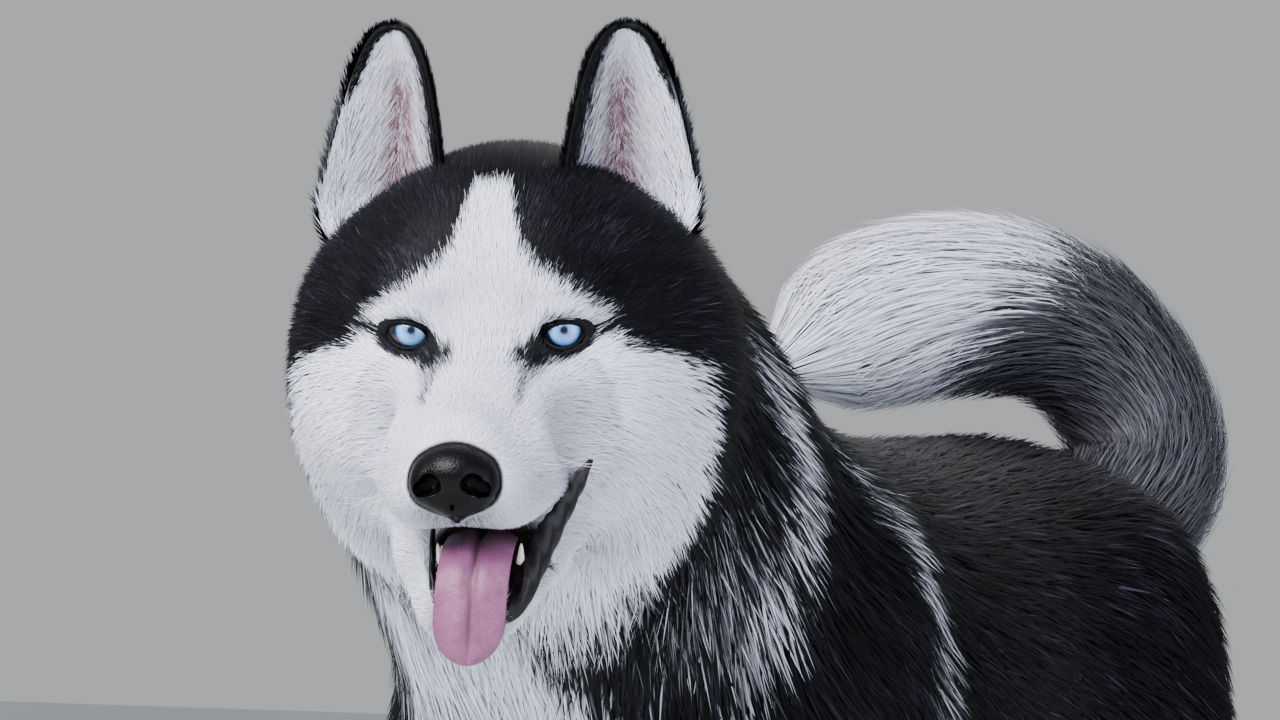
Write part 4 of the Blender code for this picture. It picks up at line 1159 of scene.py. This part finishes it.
def grow(region, piece, skin, corners, draw):
    """One piece of coat from its part of the skin."""
    count, rings, width, clumping, unwrap = piece
    count = int(count * COAT_SHARE)
    skin_places, skin_normals = skin
    sizes = coat_sizes(skin_places[corners].mean(axis=1))
    chosen, shares = scatter(skin_places, corners, 1 / (sizes[:, 0] + 4 * MM), count, draw)
    roots = blended(skin_places, corners[chosen], shares)
    normals = unit(blended(skin_normals, corners[chosen], shares))
    under_foot = (roots[:, 2] < 0.012) & (normals[:, 2] < -0.5)
    keep = ~(bare(roots) | under_foot)
    roots, normals = roots[keep], normals[keep]
    count = len(roots)
    length, depth = (coat_sizes(roots) * draw.uniform(0.78, 1.2, (count, 1))).T
    lie = coat_lie(roots) + draw.normal(0, 0.13, (count, 3))
    lie = unit(lie - normals * (lie * normals).sum(1)[:, None])
    tips = roots + lie * (length * 0.97)[:, None] + normals * depth[:, None]
    over = coat_distance(tips) + depth * draw.uniform(-0.2, 0.3, count)
    tips = tips - unit(gradient(tips, coat_distance)[1]) * np.clip(over, -0.02, 0.02)[:, None]
    if clumping:
        found, _ = nearest(roots, roots[::CLUMP])
        tips += (tips[::CLUMP][found] - tips) * (clumping * draw.uniform(0.4, 1.0, (count, 1)))
    sunk = roots - normals * np.minimum(depth * 0.3, 0.001)[:, None]
    spots = [sunk, tips]
    if rings:
        spots.insert(1, roots + (tips - roots) * 0.42 + normals * (depth * 0.3)[:, None])
    half = width * MM * np.sqrt(length / 0.01) * draw.uniform(0.7, 1.3, count)
    seen = roots + (tips - roots) * draw.uniform(0.4, 1.3, (count, 1))
    shades = coat_shades(roots, darkness(seen), draw)
    lay_coat("coat_" + region, spots, lie, normals, half, shades, unwrap(roots))


def bare(points):
    """Where no hair grows: the mouth, the slit between the lids, and the nose leather."""
    local = to_head(points)
    no_hair = (mouth_distance(local) < 0.0008) | (nose_distance(points) < 0.0008)
    return no_hair | (lid_share(both_sides(local)) < 1.15)


def make_coat(skin):
    draw = np.random.default_rng(21)
    surface = points_of(skin.data), normals_of(skin.data)
    corners = triangles_of(skin.data)
    middles = surface[0][corners].mean(axis=1)
    regions = np.where(form_distance(middles) < -0.0005, region_of(middles), -1)
    for number, (region, piece) in enumerate(PIECES.items()):
        grow(region, piece, surface, corners[regions == number], draw)


def make_tail_coat():
    """Long blades in four spots each, which leave the core along the tail and end past its tip."""
    draw = np.random.default_rng(23)
    places, directions = smooth_line(TAIL_LINE, TAIL_STEPS)
    axes = carried_axes(directions, (0, 0, 1))
    count = int(TAIL_BLADES * COAT_SHARE)
    station = draw.uniform(0.05, 0.86, count)
    turn = draw.uniform(0, 2 * math.pi, count)

    def at(where, share):
        inside = np.clip(where, 0, 1)
        side, up, spot = (along_line(inside, TAIL_STATIONS, row) for row in (axes[:, 0], axes[:, 1], places))
        spot = spot + directions[-1] * (np.maximum(where - 1.0, 0.0) * TAIL_LENGTH)[:, None]
        outward = unit(side * np.cos(turn)[:, None] + up * np.sin(turn)[:, None])
        closing = np.clip(1.0 - 9 * np.maximum(where - 0.96, 0), 0.04, 1)
        reach = np.interp(inside, TAIL_STATIONS, TAIL_REACH) * closing
        return spot + outward * (reach * share)[:, None], outward

    span = 0.19 * draw.uniform(0.75, 1.15, count)
    swell = draw.uniform(0.88, 1.06, count)
    first, _ = at(station, TAIL_CORE - 0.05)
    second, ups = at(station + span * 0.32, 0.66 * swell)
    third, _ = at(station + span * 0.66, 0.9 * swell)
    last, _ = at(station + span, swell)
    tone_at = station + span * draw.uniform(0.3, 0.9, count)
    dark = tail_tone(tone_at, at(tone_at, 0.9)[1] * 0.045)
    found, _ = nearest(first, first[::CLUMP])
    last += (last[::CLUMP][found] - last) * (0.3 * draw.uniform(0.4, 1.0, (count, 1)))
    clear = (form_distance(third) > -0.004) & (form_distance(last) > 0.0)
    spots = [spot[clear] for spot in (first, second, third, last)]
    half = TAIL_BLADE_HALF_WIDTH * draw.uniform(0.7, 1.3, clear.sum())
    shades = coat_shades(spots[0], dark[clear], draw)
    shades["tint"] = np.clip(shades["tint"] + 0.35 * shades["dark"], 0, 1)
    shades["dark"] *= draw.uniform(0.9, 1.0, clear.sum())
    unwrap = squared(station[clear], turn[clear])
    lie = unit(spots[2] - spots[1])
    lay_coat("coat_tail", spots, lie, ups[clear], half, shades, unwrap)


# The ears

EAR_ROOT = (-0.07, 0.0545, 0.047)
EAR_TIP = (-0.073, 0.051, 0.1215)
EAR_FOOT = -0.42
EAR_LEAN = 0.0035
EAR_HALF_WIDTH = 0.0312
EAR_TAPER = 0.385
EAR_CUP = 0.62
EAR_SKIN_THICK = 0.0026
EAR_FACES_OUT = math.radians(22)


def ear_half(height):
    """Half the ear's width at each height, from -0.42 at its sunk root to 1 at its round tip."""
    below = np.minimum(height, 0)
    return EAR_HALF_WIDTH * (1 - np.maximum(height, -0.25)) ** EAR_TAPER * (1.0 - 2.6 * below**2)


def ear_place(side, height, across):
    """A place on the ear's middle leaf, in the dog's frame. Across runs from -1, beside the skull, to 1."""
    root, tip = np.array(EAR_ROOT), np.array(EAR_TIP) + [0, EAR_LEAN * side, 0]
    outward = np.array((-math.sin(EAR_FACES_OUT), math.cos(EAR_FACES_OUT), 0))
    backward = np.array((-math.cos(EAR_FACES_OUT), -math.sin(EAR_FACES_OUT), 0))
    height, across = np.broadcast_arrays(np.asarray(height, float), np.asarray(across, float))
    half = ear_half(height)
    place = root + (tip - root) * height[..., None]
    place = place + outward * (across * half)[..., None]
    place = place + backward * (half * EAR_CUP * (1 - np.abs(across) ** 2.2))[..., None]
    place = place * [1, side, 1]
    return place @ HEAD_TURN.T + np.array(HEAD_AT)


def ear_axes(side, height, across):
    """Up the ear, across it, and out of its cup, at each place."""
    step = 0.004
    up = unit(ear_place(side, height + step, across) - ear_place(side, height - step, across))
    over = unit(ear_place(side, height, across + step) - ear_place(side, height, across - step))
    facing = unit(np.cross(over, up) * side)
    return up, over, facing


def ear_tones(height, across, inner):
    """Darkness and blush on the ear: black back and rim, white cup with a pinkish-brown middle."""
    half = ear_half(height)
    beside_skull = soft_step(0.007 - (1 + across) * half, 0.0014)
    outer_edge = (1 - across) * half
    upper = soft_step(height - 0.55, 0.15)
    rim = np.maximum(beside_skull, soft_step(0.003 * upper - outer_edge, 0.0008))
    rim = np.maximum(rim, soft_step(height - 0.93, 0.02))
    fringe = soft_step(0.012 - outer_edge, 0.002) * (1 - upper) * soft_step(height + 0.2, 0.03)
    middle = soft_step(0.58 - np.abs(across + 0.02), 0.3)
    middle *= soft_step(height + 0.24, 0.12) * soft_step(0.74 - height, 0.22)
    return np.where(inner, rim, 1 - fringe), np.where(inner, middle, 0.0)


def make_ear(side):
    """The bare ear: a cupped leaf with a wall, closed, whose root is sunk in the head."""
    heights = np.concatenate([np.linspace(EAR_FOOT, 0.9, 25), np.linspace(0.92, 0.995, 5)])
    across = np.linspace(-0.97, 0.97, 19)
    work = bmesh.new()
    rows = [[work.verts.new(place) for place in ear_place(side, height, across)] for height in heights]
    weave(work, rows, closed=False)
    obj = new_object("ear_leaf", mesh_from("ear_leaf", work))
    wall = obj.modifiers.new("wall", "SOLIDIFY")
    wall.thickness = EAR_SKIN_THICK
    wall.offset = 0
    applied(obj)
    work = bmesh.new()
    work.from_mesh(obj.data)
    bmesh.ops.recalc_face_normals(work, faces=work.faces)
    work.to_mesh(obj.data)
    work.free()
    return obj


def ear_blades(name, side, height, across, inner, lean, length, depth, width, rings, draw):
    """Hair on one face of the ear's leaf. Lean is how far each lies across rather than up."""
    count = len(height)
    up, over, facing = ear_axes(side, height, across)
    outward = facing * np.where(inner, 1.0, -1.0)[:, None]
    roots = ear_place(side, height, across) + outward * (EAR_SKIN_THICK / 2 - 0.0004)
    lie = unit(up + over * lean[:, None] + draw.normal(0, 0.15, (count, 3)))
    lie = unit(lie - outward * (lie * outward).sum(1)[:, None])
    tips = roots + lie * length[:, None] + outward * depth[:, None]
    spots = [roots, tips]
    if rings:
        spots.insert(1, roots + (tips - roots) * 0.45 + outward * (depth * 0.35)[:, None])
    dark, blush = ear_tones(height, across, inner)
    shades = coat_shades(roots, dark, draw)
    shades["blush"] = np.clip(blush * draw.uniform(0.55, 1.35, count), 0, 1)
    clear = form_distance(roots) > -0.007
    half = width * MM * draw.uniform(0.7, 1.3, count)
    unwrap = squared(across + 2.2 * inner, height)
    shades = {label: values[clear] for label, values in shades.items()}
    spots = [spot[clear] for spot in spots]
    lay_coat(name, spots, lie[clear], outward[clear], half[clear], shades, unwrap[clear])


def make_ear_coat(side, label):
    """Black velvet on the back and the rim, and long white hair that fills the cup."""
    draw = np.random.default_rng(31 + side)
    count = int(5200 * COAT_SHARE)
    height = draw.uniform(EAR_FOOT, 0.99, count)
    across = draw.uniform(-1, 1, count)
    edge = np.where(draw.uniform(0, 1, count) < 0.4, -1.0, 1.0)
    on_edge = draw.uniform(0, 1, count) < 0.28
    across = np.where(on_edge, edge * (1 - draw.uniform(0, 0.08, count)), across)
    lean = np.where(on_edge, draw.uniform(0.05, 0.55, count) * edge, 0.1 * across)
    size = draw.uniform(0.75, 1.2, count) * (1 - 0.35 * soft_step(height - 0.85, 0.1))
    back = np.zeros(count, bool)
    name = "coat_ear_back_" + label
    ear_blades(name, side, height, across, back, lean, 0.008 * size, 0.0017 * size, 0.42, 0, draw)
    count = int(7200 * COAT_SHARE)
    height = draw.uniform(-0.3, 0.985, count)
    across = draw.uniform(-1, 1, count)
    half = ear_half(height)
    outer_edge = (1 - across) * half
    rim = np.maximum(soft_step(0.007 - (1 + across) * half, 0.0014), soft_step(height - 0.9, 0.03))
    rim = np.maximum(rim, soft_step(0.005 - outer_edge, 0.001) * soft_step(height - 0.5, 0.08))
    fringe = soft_step(0.005 - outer_edge, 0.0014) * soft_step(0.52 - height, 0.06)
    lean = -0.55 * np.sign(across) * np.abs(across) ** 0.5 * (1 - rim) * (1 - fringe)
    lean += 0.12 * fringe - 0.25 * rim
    bald = soft_step(0.36 - np.abs(across + 0.02), 0.22) * soft_step(height + 0.16, 0.1)
    bald *= soft_step(0.66 - height, 0.16)
    length = (0.017 - 0.0085 * height) * (1 - 0.66 * bald) * (1 - 0.62 * rim) * (1 - 0.35 * fringe)
    length *= draw.uniform(0.75, 1.2, count)
    depth = length * (0.24 - 0.08 * rim)
    front = np.ones(count, bool)
    name = "coat_ear_cup_" + label
    ear_blades(name, side, height, across, front, lean, length, depth, 0.34, 1, draw)


# Eyes, nose, mouth

CAMERA_TURN = math.radians(27)
LOOK = Vector((-math.sin(CAMERA_TURN), math.cos(CAMERA_TURN), 0.0))
RIGHTWARD = Vector((math.cos(CAMERA_TURN), math.sin(CAMERA_TURN), 0.0))
CAMERA_FROM_HEAD = 2.4
CAMERA_AT = HEAD_AT - LOOK * CAMERA_FROM_HEAD + RIGHTWARD * 0.066
CAMERA_AT.z = 0.6115
FOCAL_PIXELS = 5640
IMAGE_WIDTH = 1280
SENSOR = 36.0


def make_eye(side, label):
    """An eyeball that looks at whoever faces the dog, with a slightly bulged cornea."""
    work = bmesh.new()
    bmesh.ops.create_uvsphere(work, u_segments=64, v_segments=48, radius=EYE_RADIUS)
    for vert in work.verts:
        reach = math.hypot(vert.co.x, vert.co.y) / CORNEA_RADIUS
        if vert.co.z > 0 and reach < 1:
            vert.co.z += 0.0007 * (1 - reach**2)
    name = "eyeball_" + label
    obj = bpy.data.objects.new(name, mesh_from(name, work))
    husky_folder().objects.link(obj)
    centre = in_head(-EYE_BACK, PUPIL_HALF * side, 0)
    gaze = (CAMERA_AT - centre).normalized()
    obj.matrix_world = Matrix.Translation(centre + SHIFT) @ gaze.to_track_quat("Z", "Y").to_matrix().to_4x4()
    obj.data.shade_smooth()
    finish(obj, BLUE_EYE)
    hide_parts("eye_" + label)


# Round one lid's section: the share of the almond's size, and the height over the eyeball in mm
LID_PROFILE = (
    (0.8, 0.1), (0.9, 0.75), (1.02, 1.25), (1.16, 1.15), (1.34, 0.2), (1.4, -1.6), (1.05, -2.4), (0.82, -0.6),
)


def lid_point(side, turn, scale):
    """A place on one eye's almond, scaled, before its depth is set."""
    height = LID_RISE if math.sin(turn) > 0 else LID_DROP
    across = math.cos(turn) * LID_HALF_WIDTH * scale
    lift = math.sin(turn) * abs(math.sin(turn)) ** 0.3 * height * scale
    outward = across * math.cos(LID_TILT) - lift * math.sin(LID_TILT)
    upward = across * math.sin(LID_TILT) + lift * math.cos(LID_TILT)
    return np.array((0.0, (PUPIL_HALF + 0.001 + outward) * side, upward))


def make_lids(side, label):
    """The black, moist rim of both lids, as a ring that lies on the eyeball."""
    count = 48
    centre = np.array((-EYE_BACK, PUPIL_HALF * side, 0))
    work = bmesh.new()
    rows = []
    for turn in (2 * math.pi * i / count for i in range(count)):
        hood = 1.0 + 0.5 * max(math.sin(turn), 0.0)
        row = []
        for scale, lift in LID_PROFILE:
            spot = lid_point(side, turn, scale)
            reach = min(np.linalg.norm(spot[1:] - centre[1:]), EYE_RADIUS * 0.985)
            spot[0] = centre[0] + math.sqrt(EYE_RADIUS**2 - reach**2) + lift * hood * MM
            row.append(work.verts.new(from_head(spot)))
        rows.append(row)
    weave(work, rows + rows[:1])
    return finish(smooth_object("lids_" + label, work), EYE_RIM)


def make_nose():
    obj = voxel_form("nose_leather", [(NOSE_MASSES, HEAD)], 0.0008, 2)
    move_points(obj.data, settle(points_of(obj.data), nose_distance, longest=0.003))
    combine(obj, voxel_form("nostrils", [(NOSTRILS, HEAD)], 0.0005, 2), "DIFFERENCE")
    evened(obj, 0.0005, 2)
    obj.data.shade_smooth()
    finish(obj, NOSE_LEATHER)
    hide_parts("nose")


TONGUE_LINE = MM * np.array([
    (0, 0, -78), (30, 3, -79), (55, 4.5, -76.5), (75.5, 5, -78.5), (87.5, 4, -93), (91, 2, -121.5),
])
TONGUE_HALF_WIDTH = 0.0153
TONGUE_HALF_THICK = 0.0034
TONGUE_LENGTH = 0.112


def make_tongue():
    """A flat, moist tongue with a middle groove, that hangs over the lower lip and ends in a round tip."""
    round_steps = 44
    line, _ = smooth_line(TONGUE_LINE, 200)
    shares = 1 - (1 - np.linspace(0, 0.999, 56)) ** 1.7
    places = along_line(shares, np.linspace(0, 1, 200), line)
    rings, tongue_shade = [], []
    for place, direction, share in zip(places, unit(np.gradient(places, axis=0)), shares):
        to_tip = min((1 - share) * TONGUE_LENGTH / (TONGUE_HALF_WIDTH * 1.1), 1.0)
        close = math.sqrt(max(1 - (1 - to_tip) ** 2, 0.0))
        half = TONGUE_HALF_WIDTH * close * (0.9 + 0.1 * min(share / 0.55, 1.0))
        thick = TONGUE_HALF_THICK * math.sqrt(close)
        up = np.array((-direction[2], 0, direction[0]))
        ring = []
        for i in range(round_steps):
            turn = 2 * math.pi * i / round_steps
            across = math.cos(turn)
            top = max(math.sin(turn), 0.0)
            groove = 0.0026 * math.exp(-((across / 0.11) ** 2)) - 0.0008 * math.sin(abs(across) * math.pi)
            crinkle = 0.00018 * math.sin(share * 95 + across * 9) * abs(across)
            lift = thick * math.sin(turn) * (1.0 - 0.3 * across**2) - (groove - crinkle) * top * close
            ring.append(from_head(place + up * lift + np.array((0, across * half, 0))))
            # Painted shade along the middle groove, and under the lip near the root.
            middle = 0.55 * math.exp(-((across / 0.06) ** 2)) * top * min((1 - share) * 6, 1)
            tongue_shade.append(max(middle, 0.8 * float(soft_step(0.56 - share, 0.06))))
        rings.append(ring)
    obj = joined_tubes("tongue_flesh", [rings], TONGUE)
    set_attribute(obj.data, "tongue_shade", np.array(tongue_shade))
    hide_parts("tongue")


# The outer and the inner edge of the lower lip, from the left corner of the mouth to the front, then back
# along the tongue on the right
LIP_EDGES = MM * np.array([
    ((33, 49, -47), (34.5, 48, -46.5)), ((34, 44, -59.5), (39.5, 42.5, -51.5)),
    ((37, 40, -68), (45, 37, -60)), ((45, 36.5, -77), (50, 32.5, -65.5)),
    ((55, 32.5, -86.5), (54.5, 27.5, -71.5)), ((64, 28.5, -95.5), (60, 24, -79)),
    ((69, 25.5, -101), (64.5, 20.5, -87.5)), ((73, 19, -107), (68, 16, -97)),
    ((75.5, 0, -111.5), (71, 0, -104)), ((73.5, -13, -106), (70, -11, -98.5)),
    ((68, -16.5, -95), (64, -14, -89)), ((60, -17.5, -84), (56.5, -15, -79.5)),
    ((52, -18, -74), (50, -16, -72)),
])
LIP_THICK = 0.0016
LIP_SCALLOP = 0.1


def make_lips():
    """One bulging band of skin between two edges, round the lower jaw."""
    steps, around = 100, 18
    outer, directions = smooth_line(LIP_EDGES[:, 0], steps)
    inner, _ = smooth_line(LIP_EDGES[:, 1], steps)
    rings = []
    for number, (first, second, direction) in enumerate(zip(outer, inner, directions)):
        rise = second - first
        away = np.cross(rise, direction)
        away /= np.linalg.norm(away) + 1e-9
        away *= math.copysign(1.0, away[0])
        width = np.linalg.norm(rise)
        thick = min(LIP_THICK, width * 0.45)
        wave = 1 + LIP_SCALLOP * math.sin(number * 1.15) * math.sin(number * 0.37)
        ring = []
        for i in range(around):
            turn = 2 * math.pi * i / around
            share = 0.5 - 0.5 * math.cos(turn) * (wave if math.cos(turn) < 0 else 1.0)
            bulge = min(width * 0.22, 0.0022) * math.sin(math.pi * min(max(share, 0), 1))
            fold = 0.0004 * math.sin(number * 0.8 + share * 7) * min(width / 0.006, 1)
            ring.append(from_head(first + rise * share + away * (bulge + fold + thick * math.sin(turn))))
        rings.append(ring)
    joined_tubes("lip_lower", [rings], LIP_SKIN)


WHISKER_RADIUS = 0.0001
# Lower teeth that show between tongue and lip: (forward, across, up, radius, height), in the head's frame
TEETH_BELOW = MM * np.array([
    (64, 21.5, -79.5, 1.8, 4), (64, -12.2, -79.5, 1.6, 4), (56, 22.5, -86, 1.7, 4),
    (48, 23.5, -85, 2.1, 4.5), (39, 24, -84, 2.6, 5.2), (48, -13, -85, 2.1, 4.5),
])


def spike_rings(root, tip, radius, bend, levels=8, around=12):
    """A tapering, slightly bent horn from root to tip."""
    line = tip - root
    side = np.cross(line, (0.31, 0.52, 0.79))
    side /= np.linalg.norm(side)
    other = np.cross(line / np.linalg.norm(line), side)
    turns = [2 * math.pi * i / around for i in range(around)]
    rings = []
    for share in np.arange(levels) / (levels - 1):
        middle = root + line * share + np.array(bend) * math.sin(math.pi * share)
        wide = radius * (1 - share) ** 0.6 + radius * 0.06
        rings.append([middle + side * math.cos(t) * wide + other * math.sin(t) * wide for t in turns])
    return rings


def joined_tubes(name, all_rings, material):
    """Closed tubes through rings of corners, as one object."""
    work = bmesh.new()
    for rings in all_rings:
        rows = [[work.verts.new(point) for point in ring] for ring in rings]
        weave(work, rows)
        work.faces.new(reversed(rows[0]))
        work.faces.new(rows[-1])
    return finish(smooth_object(name, work), material)


def make_teeth():
    spikes = []
    for forward, across, up, radius, height in TEETH_BELOW:
        root = from_head((forward - 0.002, across, up - 0.005))
        tip = from_head((forward + 0.001, across * 1.05, up + height))
        spikes.append(spike_rings(root, tip, radius, (0, 0, 0)))
    joined_tubes("teeth", spikes, ENAMEL)


def make_claws():
    spikes = []
    for _, masses in LEGS:
        for _, (centre, radii), _ in masses[-8:]:
            start = centre + [0, -radii[1] * 0.62, 0.004]
            spikes.append(spike_rings(start, start + [0, -0.0165, -0.01], 0.003, (0, 0, 0.0022)))
    joined_tubes("claws", spikes, HORN)


def make_whiskers():
    """Three rows on the right, and only the top one on the left, where the others would lie on the lip."""
    draw = np.random.default_rng(41)
    spikes = []
    for side in (1, -1):
        for row, step in (divmod(number, 5) for number in range(14)):
            start = MM * np.array((82 - 7.5 * step - row, 18 + 2.2 * step, -34 - 6.5 * row))
            out = np.array((draw.uniform(-0.55, 0.1), 1.0, draw.uniform(-0.75, 0.05)))
            length = draw.uniform(0.026, 0.046)
            if side == 1 and row > 0:
                continue
            tip = start + out * (length / np.linalg.norm(out))
            root, tip = (from_head(place * [1, side, 1]) for place in (start, tip))
            bend = HEAD_TURN @ (np.array((-0.1, 0.0, -0.16)) * length)
            spikes.append(spike_rings(root, tip, WHISKER_RADIUS, bend, 7, 4))
    joined_tubes("whiskers", spikes, WHISKER)


# Floor, light and camera


def add_object(name, data):
    obj = bpy.data.objects.new(name, data)
    bpy.context.scene.collection.objects.link(obj)
    return obj


def make_stage():
    work = bmesh.new()
    bmesh.ops.create_grid(work, x_segments=2, y_segments=2, size=6.0)
    floor = add_object("floor", mesh_from("floor", work))
    floor.data.materials.append(plain_material("matt paint", "#c9cccd", "#d2d5d6", 3, Roughness=0.8))
    world = bpy.data.worlds.new("studio")
    world.use_nodes = True
    backdrop = world.node_tree.nodes["Background"]
    backdrop.inputs["Color"].default_value = linear("#cfd3d5")
    backdrop.inputs["Strength"].default_value = 0.75
    bpy.context.scene.world = world


def add_light(name, place, aim, size, power, colour):
    light = bpy.data.lights.new(name, "AREA")
    light.size = size
    light.energy = power
    light.color = linear(colour)[:3]
    obj = add_object(name, light)
    obj.location = place
    obj.rotation_euler = (aim - place).to_track_quat("-Z", "Y").to_euler()


def make_lights():
    """A wide soft key from above the camera's left, a weak fill from its right, and a rim from behind."""
    face = HEAD_AT + SHIFT

    def beside_face(toward_camera, leftward, upward):
        return face - LOOK * toward_camera - RIGHTWARD * leftward + Vector((0, 0, upward))

    add_light("key", beside_face(1.3, 1.0, 1.5), face, 1.5, 200, "#fefdff")
    add_light("fill", beside_face(1.6, -1.6, 0.3), face, 2.0, 50, "#e6eeff")
    add_light("rim", beside_face(-1.9, -0.7, 1.5), beside_face(-0.4, 0, 0), 1.4, 30, "#ffffff")


def make_camera():
    camera = add_object("camera", bpy.data.cameras.new("camera"))
    camera.data.sensor_width = SENSOR
    camera.data.lens = FOCAL_PIXELS / IMAGE_WIDTH * SENSOR
    camera.data.clip_start = 0.05
    camera.location = CAMERA_AT + SHIFT
    camera.rotation_euler = LOOK.to_track_quat("-Z", "Y").to_euler()
    bpy.context.scene.camera = camera


def main():
    make_camera()
    make_lights()
    make_stage()
    skin = make_skin()
    make_coat(skin)
    make_tail_coat()
    with_ears(skin)
    finish(skin, UNDER_FUR)
    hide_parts(*FLESH)
    for side, label in ((1, "left"), (-1, "right")):
        make_ear_coat(side, label)
        make_eye(side, label)
        make_lids(side, label)
    make_nose()
    make_tongue()
    make_lips()
    make_teeth()
    make_claws()
    make_whiskers()


main()
